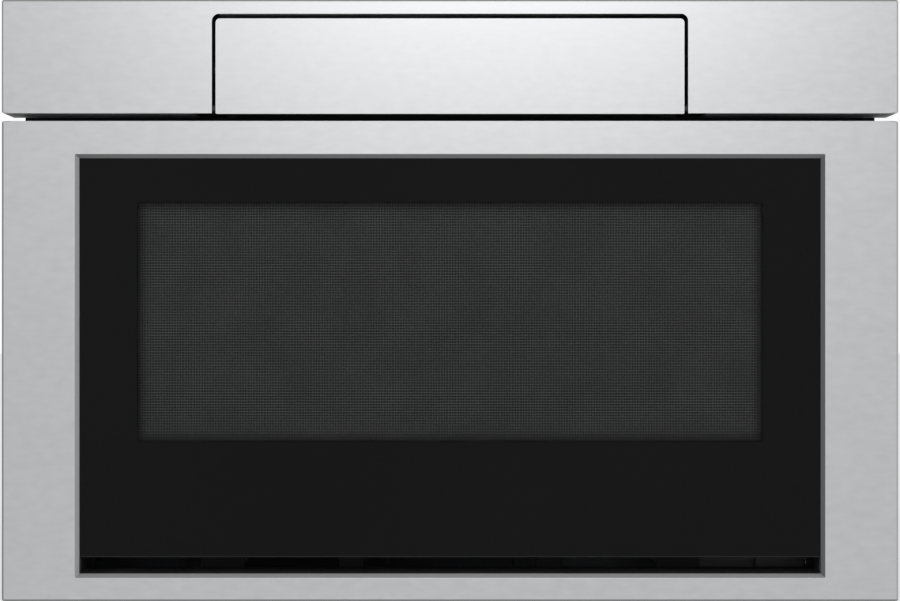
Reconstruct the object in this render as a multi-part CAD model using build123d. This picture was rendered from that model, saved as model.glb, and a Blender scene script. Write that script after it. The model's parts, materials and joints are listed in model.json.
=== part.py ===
from build123d import *

import math
import os

# Built-in microwave drawer for a 24 inch wide cabinet, as an assembly of separate pieces.
# Millimetres. +X is to the right, the front faces -Y and +Z is up.
# The origin is the middle of the chassis's underside, on the shelf that carries it.

# ---- Visible front
front_width = 606.4
front_depth = 36.0          # front face to the cabinet's face
fascia_height = 76.8
front_gap = 5.2             # between the fascia and the drawer front
top_rail = 22.4             # drawer front above its opening
shelf_clearance = 1.0       # drawer front above the shelf
face_sheet = 1.2            # stainless sheet
corner_radius = 1.5
edge_ease = 0.5

# ---- Opening of the drawer front, its glass and the vent under the glass
side_rail = 49.5            # drawer front beside its opening
opening_height = 286.6
bottom_rail = 15.8
bevel_width = 2.8
bevel_depth = 2.6
collar_width = 6.0          # sheet that backs the bevel all round
glass_thickness = 4.0
glass_overlap = 5.0         # glass that lies behind the bevel
glass_bond = 0.3
vent_height = 10.7
vent_sheet = 1.5
door_depth = 30.0           # front face to the back of the door
back_sheet = 0.8
lip_width = 10.0
window_side = 39.6          # glass's visible side edge to the window
window_drop = 29.3          # glass's visible top edge to the window
window_rise = 78.4          # glass's lower edge to the window
window_press = 1.5          # depth of the pressed frame round the perforated window

# ---- Chassis
front_overlap = 25.2        # front beyond the chassis's side
chassis_play = 5.0          # chassis below the cabinet's top rail
chassis_depth = 555.0
sheet = 1.0
panel_fit = 0.2
pan_flange = 12.0
rib_height = 3.0
rib_width = 16.0
rib_draft = 35.0
plate_sheet = 1.5
plate_side_inset = 8.7      # front plate's edge inside the front's edge, at the sides
plate_inset = 4.0           # and at the top and bottom
plate_corner = 3.0
plate_joggle = 0.5          # side flanges set back to meet the cabinet's face frame
cabinet_screw_inset = 7.0
cabinet_screw_rise = 100.0  # lower pair of cabinet screws above the shelf
cabinet_screw_pitch = 200.0
cabinet_screw_radius = 2.3

# ---- Oven: inside of the drawer's tub, and the fixed cavity around the tub
oven_side_room = 59.5       # chassis's side to the inside of the oven
oven_top_drop = 32.4        # oven's top below the top edge of the front's opening
rear_room = 118.5           # compartment behind the oven, front to back
oven_floor_z = 93.0
ceramic_thickness = 5.0
ceramic_gap = 1.0
tub_sheet = 1.0
tub_corner = 12.0
tub_rim = 5.0
tub_rim_drop = 4.0
glide_height = 6.7
glide_play = 0.3
glide_length = 60.0
glide_width = 14.0
glide_inset = 30.0
cavity_side_play = 8.0
cavity_top_play = 6.0
cavity_back_play = 9.5
cavity_bend = 5.0

# ---- Choke round the oven's mouth
choke_width = 20.0
choke_overlap = 6.5         # choke cover's inner edge outside the tub
choke_play = 0.8            # closed door to the front plate
choke_tooth_pitch = 52.0
choke_tooth_gap = 8.0
choke_tooth_depth = 12.0
inner_pane_thickness = 3.0
inner_pane_border = 8.0

# ---- Vent slots of the front plate
vent_centre_width = 120.0
vent_inner_width = 66.0
vent_outer_inset = 3.9      # end of the outer slots inside the opening
vent_inner_web = 17.0
vent_outer_web = 30.0
vent_slot_height = 13.0

# ---- Drawer motion
slide_engaged = 49.0        # slides that stay engaged when the drawer is right out
slide_height = 45.0
slide_centre_z = 58.0
slide_rear_reach = 3.0      # rear end of the slides behind the oven's rear wall
slide_setback = 7.5         # front end of the slides behind the cabinet's face
slide_sheet = 1.4
slide_thickness = 12.7
slide_bracket_sheet = 1.5
slide_bracket_foot = 22.0
outer_reach = 9.5
middle_reach = 11.2
ball_diameter = 3.4
ball_play = 0.1
cage_sheet = 0.5
cage_play = 0.25
cage_length = 100.0
cage_balls = 2
cage_centre_y = -55.0
outer_ball_line = 6.0       # ball centres from the back of the slide
inner_ball_line = 8.0
outer_cage_reach = 8.5
inner_cage_reach = 10.4
drawer_bracket_length = 165.0
drawer_bracket_flange = 24.0
drawer_bracket_top = 21.0   # above the slide's centre line
rail_opening_margin = 3.0

# ---- Rack drive
gear_module = 2.0
pinion_teeth = 14
pressure_angle = 20.0
gear_backlash = 0.3
gear_dedendum = 1.25
rack_addendum = 0.8
flank_steps = 2
rack_width = 10.0
rack_pitch_drop = 22.0      # rack's pitch line below the slide's centre line
rack_back = 5.5
rack_flange_height = 16.0
rack_flange_sheet = 2.0
rack_margin = 25.0
pinion_setback = 37.5
pinion_shaft_radius = 3.0
shaft_play = 0.05
gearbox_length = 44.0
gearbox_width = 34.0
gearbox_gap = 1.5
motor_can_radius = 17.0
motor_can_length = 62.0

# ---- Control flap
flap_width = 317.0
flap_height = 64.5
flap_drop = 0.4             # flap's lower edge below the fascia's lower edge
flap_side_gap = 2.5
flap_top_gap = 3.2
flap_top_radius = 2.8
flap_bottom_radius = 0.8
notch_radius = 4.8
flap_return = 5.0
hinge_setback = 6.0         # hinge pin behind the flap's face
hinge_rise = 4.0            # hinge pin above the flap's lower edge
flap_rear_reach = 36.0      # rear edge of the touch glass behind the hinge pin
flap_rear_rise = 29.0
flap_glass_drop = 3.6       # touch glass below the flap's upper fold
flap_glass_thickness = 2.5
flap_glass_width = 300.0
flap_wall = 2.0
flap_side_room = 4.5        # housing's side inside the flap's side
board_thickness = 1.6
hinge_pin_radius = 2.5
hinge_pin_length = 8.0
sector_module = 1.0
sector_teeth = 48
sector_pinion_teeth = 16
sector_thickness = 2.5
sector_mesh_angle = 60.0    # mesh point above the +Y direction, seen from +X
sector_low_angle = -8.0
sector_high_angle = 72.0
sector_backlash = 0.2
flap_motor_radius = 11.0
flap_motor_length = 24.0
housing_play = 2.5          # flap's side to the control housing's side wall
housing_wall = 2.0
housing_depth = 34.0        # control housing behind the cabinet's face
cabinet_rail_rise = 45.0    # cabinet's top rail above the fascia's lower edge

# ---- Interlock hooks
hook_inset = 12.3           # hook inside the side panel
hook_z = 180.0
hook_thickness = 3.0
hook_pin_setback = 7.5      # hook's pin in front of the door's back
hook_reach = 31.0           # hook's nose behind the door's back
hook_height = 9.0
hook_pin_radius = 2.0
hook_swing = 6.0
switch_gap = 0.6

# ---- Microwave feed and rear compartment
dome_half = 88.0            # eight-sided dome, at its foot and at its top
dome_top_half = 76.0
dome_corner = 40.0
dome_height = 18.0
stirrer_radius = 66.0
stirrer_vanes = 3
stirrer_vane_width = 30.0
stirrer_vane_root = 16.0
stirrer_vane_tilt = 15.0
stirrer_shaft_radius = 2.5
stirrer_cover_thickness = 1.8
waveguide_width = 92.0
waveguide_height = 36.0
feed_length = 70.0
feed_width = 60.0
magnetron_width = 90.0
magnetron_depth = 74.0
magnetron_height = 62.0
magnetron_fins = 4
fan_radius = 49.0
fan_blades = 5
fan_x = -66.0
fan_ring_depth = 18.0
fan_hub_radius = 12.0
fan_hub_length = 16.0
fan_shaft_radius = 2.0
fan_root_pitch = 50.0       # blade from the axis, at the hub and at the tip
fan_tip_pitch = 66.0
fan_motor_radius = 22.0
fan_motor_length = 24.0
vent_pitch = 12.0
vent_gap = 5.0
vent_length = 70.0
antenna_radius = 8.0
antenna_height = 26.0
lamp_inset = 62.5           # lamp inside the cavity's side
lamp_y = 60.0
lamp_size = 38.0
lamp_hole = 4.0

# ---- Electrical pieces
transformer_pitch = 88.0    # mains filter to transformer
core_width = 96.0
core_height = 80.0
core_stack = 58.0
coil_depth = 14.0
capacitor_pitch = 95.0      # transformer to capacitor
capacitor_width = 52.0
capacitor_depth = 34.0
capacitor_height = 85.0
filter_inset = 37.8         # mains filter inside the side panel
board_side_gap = 14.5       # power board inside the cavity's side
board_dome_gap = 15.0       # power board to the stirrer's dome
board_length = 150.0
board_y = -130.0
standoff_height = 6.0
filter_width = 52.0
filter_length = 76.0
gland_inset = 40.8          # cord inlet inside the side panel
gland_z = 45.0
gland_hole_radius = 13.0
gland_bore_radius = 5.0
gland_flange_radius = 17.0
gland_length = 14.0
screw_head = 4.0
screw_head_height = 2.4
screw_shank = 1.4
screw_length = 6.0
screw_play = 0.2

over = 1.0                  # how far a cut runs past the face that it opens

# ---- Derived places
cabinet_y = -chassis_depth / 2
back_y = chassis_depth / 2
face_y = cabinet_y - front_depth
plate_y = cabinet_y - plate_sheet
door_back_y = face_y + door_depth
front_half = front_width / 2
chassis_half = front_half - front_overlap
chassis_width = 2 * chassis_half
side_inner_x = chassis_half - sheet - panel_fit - sheet
hook_x = side_inner_x - hook_inset

drawer_z0 = shelf_clearance
opening_z0 = drawer_z0 + bottom_rail
opening_z1 = opening_z0 + opening_height
drawer_z1 = opening_z1 + top_rail
fascia_z0 = drawer_z1 + front_gap
fascia_z1 = fascia_z0 + fascia_height
cut_out_height = fascia_z0 + cabinet_rail_rise
chassis_height = cut_out_height - chassis_play
plate_half = front_half - plate_side_inset
opening_half = front_half - side_rail
mouth_half = opening_half - bevel_width
mouth_z0 = opening_z0 + bevel_width
mouth_z1 = opening_z1 - bevel_width
window_half = mouth_half - window_side
vent_z1 = mouth_z0 + vent_height
glass_y0 = face_y + bevel_depth + glass_bond
glass_y1 = glass_y0 + glass_thickness
glass_half = mouth_half + glass_overlap
glass_z1 = mouth_z1 + glass_overlap
window_z1 = mouth_z1 - window_drop
window_z0 = vent_z1 + window_rise

oven_half = chassis_half - oven_side_room
tub_half = oven_half + tub_sheet
tub_z0 = oven_floor_z - ceramic_thickness - tub_sheet
tub_z1 = opening_z1 - oven_top_drop
rear_y = back_y - sheet
cavity_back_y = rear_y - rear_room
cavity_y1 = cavity_back_y - sheet
tub_y1 = cavity_y1 - cavity_back_play
cavity_half = tub_half + cavity_side_play
cavity_z0 = tub_z0 - glide_height - glide_play
cavity_z1 = tub_z1 + cavity_top_play

choke_inner_half = tub_half + choke_overlap
choke_outer_half = choke_inner_half + choke_width
choke_inner_z0 = tub_z0 - choke_overlap
choke_inner_z1 = tub_z1 + choke_overlap
choke_outer_z0 = choke_inner_z0 - choke_width
choke_outer_z1 = choke_inner_z1 + choke_width
door_pan_y0 = glass_y1 + panel_fit
door_pan_y1 = door_back_y - back_sheet
door_pan_z0 = vent_z1 + 2 * vent_sheet + panel_fit
door_pan_z1 = drawer_z1 - face_sheet - lip_width
door_pan_half = choke_outer_half + vent_sheet

slide_y0 = cabinet_y + slide_setback
slide_y1 = cavity_y1 + slide_rear_reach
slide_length = slide_y1 - slide_y0
drawer_travel = slide_length - slide_engaged
slide_back_x = side_inner_x - panel_fit - slide_bracket_sheet
inner_face_x = slide_back_x - slide_thickness
outer_half = slide_height / 2
raceway = ball_diameter + 2 * ball_play
middle_half = outer_half - slide_sheet - raceway
inner_half = middle_half - slide_sheet - raceway
web_gap = cage_sheet + 2 * cage_play

pinion_radius = gear_module * pinion_teeth / 2
rack_pitch_z = slide_centre_z - rack_pitch_drop
pinion_z = rack_pitch_z - pinion_radius
pinion_y = cabinet_y + pinion_setback
rack_x0 = inner_face_x - rack_width
rack_tip_z = rack_pitch_z - rack_addendum * gear_module
rack_root_z = rack_pitch_z + gear_dedendum * gear_module
rack_y0 = pinion_y - rack_margin
rack_y1 = pinion_y + drawer_travel + rack_margin

flap_z0 = fascia_z0 - flap_drop
flap_z1 = flap_z0 + flap_height
flap_half = flap_width / 2
hinge_y = face_y + hinge_setback
hinge_z = flap_z0 + hinge_rise
flap_body_half = flap_half - flap_side_room
housing_inner_half = flap_half + housing_play
housing_outer_half = housing_inner_half + housing_wall
housing_y0 = face_y + face_sheet + panel_fit
housing_y1 = cabinet_y + housing_depth
housing_step_z = cut_out_height - sheet
housing_top_z = fascia_z1 - face_sheet - panel_fit
flap_aperture_half = housing_outer_half + panel_fit
sector_centre_distance = sector_module * (sector_teeth + sector_pinion_teeth) / 2
flap_pinion_y = hinge_y + sector_centre_distance * math.cos(math.radians(sector_mesh_angle))
flap_pinion_z = hinge_z + sector_centre_distance * math.sin(math.radians(sector_mesh_angle))
sector_x0 = -flap_body_half - panel_fit - sector_thickness

stirrer_y = (cabinet_y + cavity_y1) / 2
dome_top_z = cavity_z1 + dome_height
waveguide_half = waveguide_width / 2
waveguide_y0 = stirrer_y - waveguide_half
waveguide_z1 = dome_top_z + waveguide_height
rear_centre_y = (cavity_back_y + rear_y) / 2
waveguide_y1 = rear_centre_y + magnetron_depth / 2
fan_z = dome_top_z - magnetron_height / 2
lamp_x = cavity_half - lamp_inset
filter_x = filter_inset - side_inner_x
gland_x = gland_inset - side_inner_x
transformer_x = filter_x + transformer_pitch
capacitor_x = transformer_x + capacitor_pitch
board_x0 = board_side_gap - cavity_half
board_x1 = -dome_half - board_dome_gap
board_x = (board_x0 + board_x1) / 2
wall_top_z = chassis_height - sheet - panel_fit
wall_bottom_z = sheet + panel_fit


# ---- Shapes used throughout
def block(x0, x1, y0, y1, z0, z1):
    """Box between two opposite corners."""
    return Pos((x0 + x1) / 2, (y0 + y1) / 2, (z0 + z1) / 2) * Box(x1 - x0, y1 - y0, z1 - z0)


def slab(half_x, y0, y1, z0, z1):
    """Box that is centred on the middle plane."""
    return block(-half_x, half_x, y0, y1, z0, z1)


def rod_x(radius, x0, x1, y, z):
    """Round bar along X."""
    return Pos((x0 + x1) / 2, y, z) * Rot(0, 90, 0) * Cylinder(radius, x1 - x0)


def rod_y(radius, y0, y1, x, z):
    """Round bar along Y."""
    return Pos(x, (y0 + y1) / 2, z) * Rot(90, 0, 0) * Cylinder(radius, y1 - y0)


def rod_z(radius, z0, z1, x, y):
    """Round bar along Z."""
    return Pos(x, y, (z0 + z1) / 2) * Cylinder(radius, z1 - z0)


def prism_x(outline, x0, x1):
    """Solid with a (y, z) outline, between two x planes."""
    return extrude(Plane.YZ.offset(x0) * Polygon(*outline, align=None), amount=x1 - x0, dir=(1, 0, 0))


def prism_y(outline, y0, y1):
    """Solid with an (x, z) outline, between two y planes."""
    return extrude(Plane.XZ.offset(-y0) * Polygon(*outline, align=None), amount=y1 - y0, dir=(0, 1, 0))


def prism_z(outline, z0, z1):
    """Solid with an (x, y) outline, between two z planes."""
    return extrude(Plane.XY.offset(z0) * Polygon(*outline, align=None), amount=z1 - z0, dir=(0, 0, 1))


def other_side(shape):
    """The same piece on the left side."""
    return mirror(shape, about=Plane.YZ)


def pair(shape):
    """The piece and its mirror image, as two solids."""
    return shape + other_side(shape)


def pressed_rib(length, width, height, thickness):
    """Raised rib with sloping sides, pressed in a sheet whose lower face is z = 0, and its hollow."""
    raised = extrude(Plane.XY.offset(thickness) * Rectangle(length, width), amount=height, taper=rib_draft)
    inner_length = length - 2 * thickness
    inner_width = width - 2 * thickness
    hollow = extrude(Rectangle(inner_length, inner_width), amount=height, taper=rib_draft)
    return raised, hollow


def add_ribs(body, places, length, width, height, thickness):
    """Body with a pressed rib at each place."""
    raised, hollow = pressed_rib(length, width, height, thickness)
    for place in places:
        body = body + place * raised
    for place in places:
        body = body - place * hollow
    return body


def slot_row(count, pitch, width, height, depth):
    """Row of upright slots along X, centred on the origin and cut along Y."""
    first = -pitch * (count - 1) / 2
    row = [Pos(first + pitch * index, 0, 0) * Box(width, depth, height) for index in range(count)]
    return Part() + row


def gear_outline(teeth, module, tip_radius, backlash, phase):
    """Involute gear outline, with a tooth centred on the phase angle."""
    pitch_radius = module * teeth / 2
    angle = math.radians(pressure_angle)
    base_radius = pitch_radius * math.cos(angle)
    root_radius = pitch_radius - gear_dedendum * module
    start_radius = max(root_radius, base_radius)
    half_pitch = math.pi / (2 * teeth) - backlash / (2 * pitch_radius)
    involute_pitch = math.tan(angle) - angle
    flank = []
    if root_radius < base_radius:
        flank.append((root_radius, half_pitch + involute_pitch))
    for step in range(flank_steps + 1):
        radius = start_radius + (tip_radius - start_radius) * step / flank_steps
        roll = math.acos(min(1.0, base_radius / radius))
        flank.append((radius, half_pitch + involute_pitch - (math.tan(roll) - roll)))
    outline = []
    for tooth in range(teeth):
        centre = phase + 2 * math.pi * tooth / teeth
        for radius, half in flank:
            outline.append((radius * math.cos(centre - half), radius * math.sin(centre - half)))
        for radius, half in reversed(flank):
            outline.append((radius * math.cos(centre + half), radius * math.sin(centre + half)))
    return outline


def placed(outline, y, z):
    """Outline moved to a (y, z) centre."""
    return [(point[0] + y, point[1] + z) for point in outline]


def screw_places():
    """Places of the chassis screws: their heads point outwards, at the rear and at the top's sides."""
    places = []
    edge_x = side_inner_x - pan_flange / 2
    for side in (-1, 1):
        for height in (chassis_height / 8, chassis_height * 7 / 8):
            places.append(Pos(side * edge_x, back_y, height) * Rot(-90, 0, 0))
        for place_y in (cabinet_y + 3 * pan_flange, 0, back_y - 3 * pan_flange):
            height = chassis_height - pan_flange / 2
            places.append(Pos(side * chassis_half, place_y, height) * Rot(0, side * 90, 0))
    return places


def screw_holes():
    """Holes for the chassis screws."""
    hole_depth = screw_length + over
    hole = extrude(RegularPolygon(screw_shank + screw_play, 6), amount=hole_depth + over)
    hole = Pos(0, 0, -hole_depth) * hole
    return Part() + [place * hole for place in screw_places()]


# ---- Drawer front
def door_frame():
    """Folded stainless front with a mitred bevel round its opening and lips turned in at the back."""
    frame = slab(front_half, face_y, door_back_y, drawer_z0, drawer_z1)
    frame = fillet(frame.edges().filter_by(Axis.Y), corner_radius)
    frame = chamfer(frame.faces().sort_by(Axis.Y)[0].edges(), edge_ease)
    inner_half_x = front_half - face_sheet
    inner_z0 = drawer_z0 + face_sheet
    inner_z1 = drawer_z1 - face_sheet
    frame = frame - slab(inner_half_x, face_y + face_sheet, door_back_y + over, inner_z0, inner_z1)
    lip_y1 = door_pan_y1
    lip_hole = slab(inner_half_x - lip_width, face_y, door_back_y, inner_z0 + lip_width, inner_z1 - lip_width)
    frame = frame + (slab(inner_half_x, lip_y1 - face_sheet, lip_y1, inner_z0, inner_z1) - lip_hole)
    collar_half = opening_half + collar_width
    collar_z0 = opening_z0 - collar_width
    collar_z1 = opening_z1 + collar_width
    frame = frame + slab(collar_half, face_y + face_sheet, face_y + bevel_depth, collar_z0, collar_z1)
    centre_z = (opening_z0 + opening_z1) / 2
    mouth = Plane(origin=(0, face_y, centre_z), x_dir=(1, 0, 0), z_dir=(0, 1, 0))
    bevel_angle = math.degrees(math.atan(bevel_width / bevel_depth))
    opening = mouth * Rectangle(2 * opening_half, opening_height)
    bevel = extrude(opening, amount=bevel_depth, taper=bevel_angle)
    return frame - bevel


def door_glass():
    """Flat door glass, bonded behind the bevel; its lower edge is the top of the vent."""
    glass = slab(glass_half, glass_y0, glass_y1, vent_z1, glass_z1)
    return chamfer(glass.faces().sort_by(Axis.Y)[0].edges(), edge_ease)


def vent_channel():
    """Plastic channel through the bottom of the door, with a sill that runs out to the bevel."""
    inner_z1 = vent_z1 + panel_fit
    outer_half = mouth_half + vent_sheet
    channel_y0 = glass_y1 + panel_fit
    tube = slab(outer_half, channel_y0, door_pan_y1, mouth_z0 - vent_sheet, inner_z1 + vent_sheet)
    tube = tube - slab(mouth_half, channel_y0 - over, door_pan_y1 + over, mouth_z0, inner_z1)
    sill = slab(mouth_half, glass_y0, channel_y0, mouth_z0 - vent_sheet, mouth_z0)
    return tube + sill


def choke_frame():
    """Pressed steel screen pan: framed window, folded rim and a toothed choke wall round the tub's mouth."""
    pan = slab(door_pan_half, door_pan_y0, door_pan_y1, door_pan_z0, door_pan_z1)
    inner_half_x = door_pan_half - back_sheet
    inner_z0 = door_pan_z0 + back_sheet
    inner_z1 = door_pan_z1 - back_sheet
    pan = pan - slab(inner_half_x, door_pan_y0 + back_sheet, door_pan_y1 + over, inner_z0, inner_z1)
    wall_y0 = door_pan_y0 + back_sheet
    wall = slab(choke_inner_half, wall_y0, door_pan_y1, choke_inner_z0, choke_inner_z1)
    wall = wall - slab(
        choke_inner_half - back_sheet,
        wall_y0 - over,
        door_pan_y1 + over,
        choke_inner_z0 + back_sheet,
        choke_inner_z1 - back_sheet,
    )
    tooth_y0 = door_pan_y1 - choke_tooth_depth
    across = int(2 * (choke_inner_half - choke_tooth_pitch / 2) / choke_tooth_pitch)
    upright = int((choke_inner_z1 - choke_inner_z0 - choke_tooth_pitch) / choke_tooth_pitch)
    centre_z = (choke_inner_z0 + choke_inner_z1) / 2
    tooth_y = tooth_y0 + choke_tooth_depth
    gap_depth = 2 * choke_tooth_depth
    tall = choke_inner_z1 - choke_inner_z0 + 2 * over
    wide = 2 * (choke_inner_half + over)
    row = slot_row(across, choke_tooth_pitch, choke_tooth_gap, tall, gap_depth)
    column = Rot(0, 90, 0) * slot_row(upright, choke_tooth_pitch, choke_tooth_gap, wide, gap_depth)
    wall = wall - Pos(0, tooth_y, centre_z) * row
    wall = wall - Pos(0, tooth_y, centre_z) * column
    frame_half = window_half + inner_pane_border
    press = slab(frame_half, wall_y0, wall_y0 + window_press, window_z0 - inner_pane_border,
                 window_z1 + inner_pane_border)
    press = press - slab(window_half, wall_y0 - over, wall_y0 + window_press + over, window_z0, window_z1)
    return pan + wall + press


def inner_window():
    """Inner pane that closes the tub's side of the screen."""
    half_x = window_half + inner_pane_border / 2
    z0 = window_z0 - inner_pane_border / 2
    z1 = window_z1 + inner_pane_border / 2
    y1 = door_pan_y1 - panel_fit
    return slab(half_x, y1 - inner_pane_thickness, y1, z0, z1)


def door_back_panel():
    """Back of the door: window aperture, vent aperture, hook slots and the ears of the hooks' pins."""
    half_x = front_half - face_sheet - panel_fit
    z0 = drawer_z0 + face_sheet + panel_fit
    z1 = drawer_z1 - face_sheet - panel_fit
    panel = slab(half_x, door_pan_y1, door_back_y, z0, z1)
    through = (door_pan_y1 - over, door_back_y + over)
    panel = panel - slab(window_half, *through, window_z0, window_z1)
    panel = panel - slab(mouth_half, *through, mouth_z0, vent_z1 + panel_fit)
    slot_half = hook_thickness / 2 + over
    slot_z0 = hook_z - hook_height
    slot_z1 = hook_z + hook_height
    slot = block(hook_x - slot_half, hook_x + slot_half, *through, slot_z0, slot_z1)
    panel = panel - slot - other_side(slot)
    ear_y0 = door_back_y - hook_pin_setback - 2 * hook_pin_radius
    ear_z0 = hook_z - 2 * hook_pin_radius
    ear_z1 = hook_z + 2 * hook_pin_radius
    pin_y = door_back_y - hook_pin_setback
    for side in (-1, 1):
        ear_x = hook_x + side * (slot_half + back_sheet / 2)
        ear = block(ear_x - back_sheet / 2, ear_x + back_sheet / 2, ear_y0, door_pan_y1, ear_z0, ear_z1)
        ear = ear - rod_x(hook_pin_radius + shaft_play, ear_x - over, ear_x + over, pin_y, hook_z)
        panel = panel + ear + other_side(ear)
    return panel


def choke_cover():
    """Plastic ring that covers the choke round the tub's mouth, with its rim eased."""
    depth_y1 = plate_y - choke_play
    ring = slab(choke_outer_half, door_back_y, depth_y1, choke_outer_z0, choke_outer_z1)
    ring = fillet(ring.edges().filter_by(Axis.Y), tub_corner)
    ring = chamfer(ring.faces().sort_by(Axis.Y)[-1].edges(), choke_play)
    inner = slab(choke_inner_half, door_back_y - over, depth_y1 + over, choke_inner_z0, choke_inner_z1)
    inner = fillet(inner.edges().filter_by(Axis.Y), tub_corner / 2)
    return ring - inner


# ---- Drawer tub
def tub_shell(inset, y0, y1, z0, z1):
    """Closed tub form, rounded at its rear corners and along its floor."""
    form = slab(tub_half - inset, y0, y1, z0, z1)
    rear = form.edges().filter_by(Axis.Z).sort_by(Axis.Y)[2:]
    form = fillet(rear, tub_corner - inset)
    low = form.faces().sort_by(Axis.Z)[0].edges().filter_by(lambda edge: edge.center().Y > y0 + over)
    return fillet(low, tub_corner / 2 - inset)


def drawer_tub():
    """Deep-drawn tub, open at the top and at the door, with a turned-out rim and a front flange."""
    outer = tub_shell(0, door_back_y, tub_y1, tub_z0, tub_z1)
    inner = tub_shell(tub_sheet, door_back_y - over, tub_y1 - tub_sheet, tub_z0 + tub_sheet, tub_z1 + over)
    tub = outer - inner
    rim_z0 = tub_z1 - tub_sheet
    flange_y1 = door_back_y + tub_sheet
    rim_form = slab(tub_half + tub_rim, flange_y1, tub_y1 + tub_rim, rim_z0, tub_z1)
    rim_form = fillet(rim_form.edges().filter_by(Axis.Z).sort_by(Axis.Y)[2:], tub_corner + tub_rim)
    skirt = slab(tub_half + tub_rim, flange_y1, tub_y1 + tub_rim, tub_z1 - tub_rim_drop, rim_z0)
    skirt = fillet(skirt.edges().filter_by(Axis.Z).sort_by(Axis.Y)[2:], tub_corner + tub_rim)
    skirt_inner_half = tub_half + tub_rim - tub_sheet
    skirt_hollow = slab(skirt_inner_half, flange_y1 - over, tub_y1 + tub_rim - tub_sheet,
                        tub_z1 - tub_rim_drop - over, rim_z0)
    skirt_hollow = fillet(skirt_hollow.edges().filter_by(Axis.Z).sort_by(Axis.Y)[2:],
                          tub_corner + tub_rim - tub_sheet)
    skirt = skirt - skirt_hollow
    rim = (rim_form + skirt) - tub_shell(0, door_back_y - over, tub_y1, tub_z0, tub_z1 + over)
    flange_half = tub_half + choke_overlap - panel_fit
    flange = slab(flange_half, door_back_y, flange_y1, tub_z0 - choke_overlap + panel_fit, tub_z1)
    flange = fillet(flange.edges().filter_by(Axis.Y).sort_by(Axis.Z)[:2], tub_corner / 2)
    flange = flange - tub_shell(tub_sheet, door_back_y - over, tub_y1, tub_z0 + tub_sheet, tub_z1 + over)
    return tub + rim + flange


def ceramic_floor():
    """Ceramic plate that lies in the tub."""
    half_x = oven_half - ceramic_gap
    y0 = door_back_y + ceramic_gap
    y1 = tub_y1 - tub_sheet - ceramic_gap
    plate = slab(half_x, y0, y1, oven_floor_z - ceramic_thickness, oven_floor_z)
    plate = fillet(plate.edges().filter_by(Axis.Z), tub_corner)
    low_edges = plate.faces().sort_by(Axis.Z)[0].edges()
    plate = chamfer(low_edges, ceramic_thickness - ceramic_gap)
    return plate


def tub_glides():
    """Two low-friction pads under the back of the tub, which run on the cavity's floor."""
    x1 = tub_half - glide_inset
    y1 = tub_y1 - glide_inset
    pad = block(x1 - glide_width, x1, y1 - glide_length, y1, tub_z0 - glide_height, tub_z0)
    ends = pad.edges().filter_by(Axis.X).sort_by(Axis.Z)[:2]
    return pair(fillet(ends, glide_height / 2))


# ---- Slides
def slide_block(back, reach, half, y0, y1):
    """Block on the right slide, from its back towards the middle of the part."""
    z0 = slide_centre_z - half
    z1 = slide_centre_z + half
    return block(slide_back_x - reach, slide_back_x - back, y0, y1, z0, z1)


def slide_channel(back, reach, half, y0, y1, web_inboard, thickness):
    """Channel with its web at the back, or inboard, and two flanges."""
    if web_inboard:
        hollow = slide_block(back - over, reach - thickness, half - thickness, y0 - over, y1 + over)
    else:
        hollow = slide_block(back + thickness, reach + over, half - thickness, y0 - over, y1 + over)
    return slide_block(back, reach, half, y0, y1) - hollow


def web_slots(channel, back, reach, count, length, height):
    """Channel with lightening slots along its web."""
    pitch = slide_length / count
    for index in range(count):
        centre_y = slide_y0 + pitch * (index + 1 / 2)
        slot_y0 = centre_y - length / 2
        slot = slide_block(back - over, reach + over, height / 2, slot_y0, slot_y0 + length)
        channel = channel - slot
    return channel


def slide_outer():
    """Fixed member of the right slide."""
    channel = slide_channel(0, outer_reach, outer_half, slide_y0, slide_y1, False, slide_sheet)
    return web_slots(channel, 0, slide_sheet, 4, slide_height / 2, slide_height / 5)


def slide_middle():
    """Intermediate member of the right slide."""
    back = slide_sheet + web_gap
    channel = slide_channel(back, middle_reach, middle_half, slide_y0, slide_y1, False, slide_sheet)
    return web_slots(channel, back, back + slide_sheet, 3, slide_height, slide_height / 4)


def slide_inner():
    """Drawer's member of the right slide, with its web inboard."""
    back = 2 * (slide_sheet + web_gap)
    channel = slide_channel(back, slide_thickness, inner_half, slide_y0, slide_y1, True, slide_sheet)
    back = slide_thickness - slide_sheet
    return web_slots(channel, back, slide_thickness, 4, slide_height / 4, slide_height / 5)


def slide_ball():
    """Ball with few faces: a cube with every edge taken off."""
    cube = Box(ball_diameter, ball_diameter, ball_diameter)
    return chamfer(cube.edges(), ball_diameter / (2 + math.sqrt(2)))


def ball_cage(web_back, reach, gap_low, ball_line):
    """Sheet cage with its rows of balls above and below, between two members of the right slide."""
    y0 = cage_centre_y - cage_length / 2
    y1 = cage_centre_y + cage_length / 2
    ball_height = gap_low + raceway / 2
    half = ball_height + cage_sheet / 2
    cage = slide_channel(web_back, reach, half, y0, y1, False, cage_sheet)
    pitch = cage_length / cage_balls
    ball = slide_ball()
    for index in range(cage_balls):
        centre_y = y0 + pitch * (index + 1 / 2)
        for side in (-1, 1):
            place = Pos(slide_back_x - ball_line, centre_y, slide_centre_z + side * ball_height)
            cage = cage + place * ball
    return cage


def ball_cages_outer():
    """Cages between the outer and middle members, left and right."""
    return pair(ball_cage(slide_sheet + cage_play, outer_cage_reach, middle_half, outer_ball_line))


def ball_cages_inner():
    """Cages between the middle and inner members, left and right."""
    back = 2 * slide_sheet + web_gap + cage_play
    return pair(ball_cage(back, inner_cage_reach, inner_half, inner_ball_line))


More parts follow.
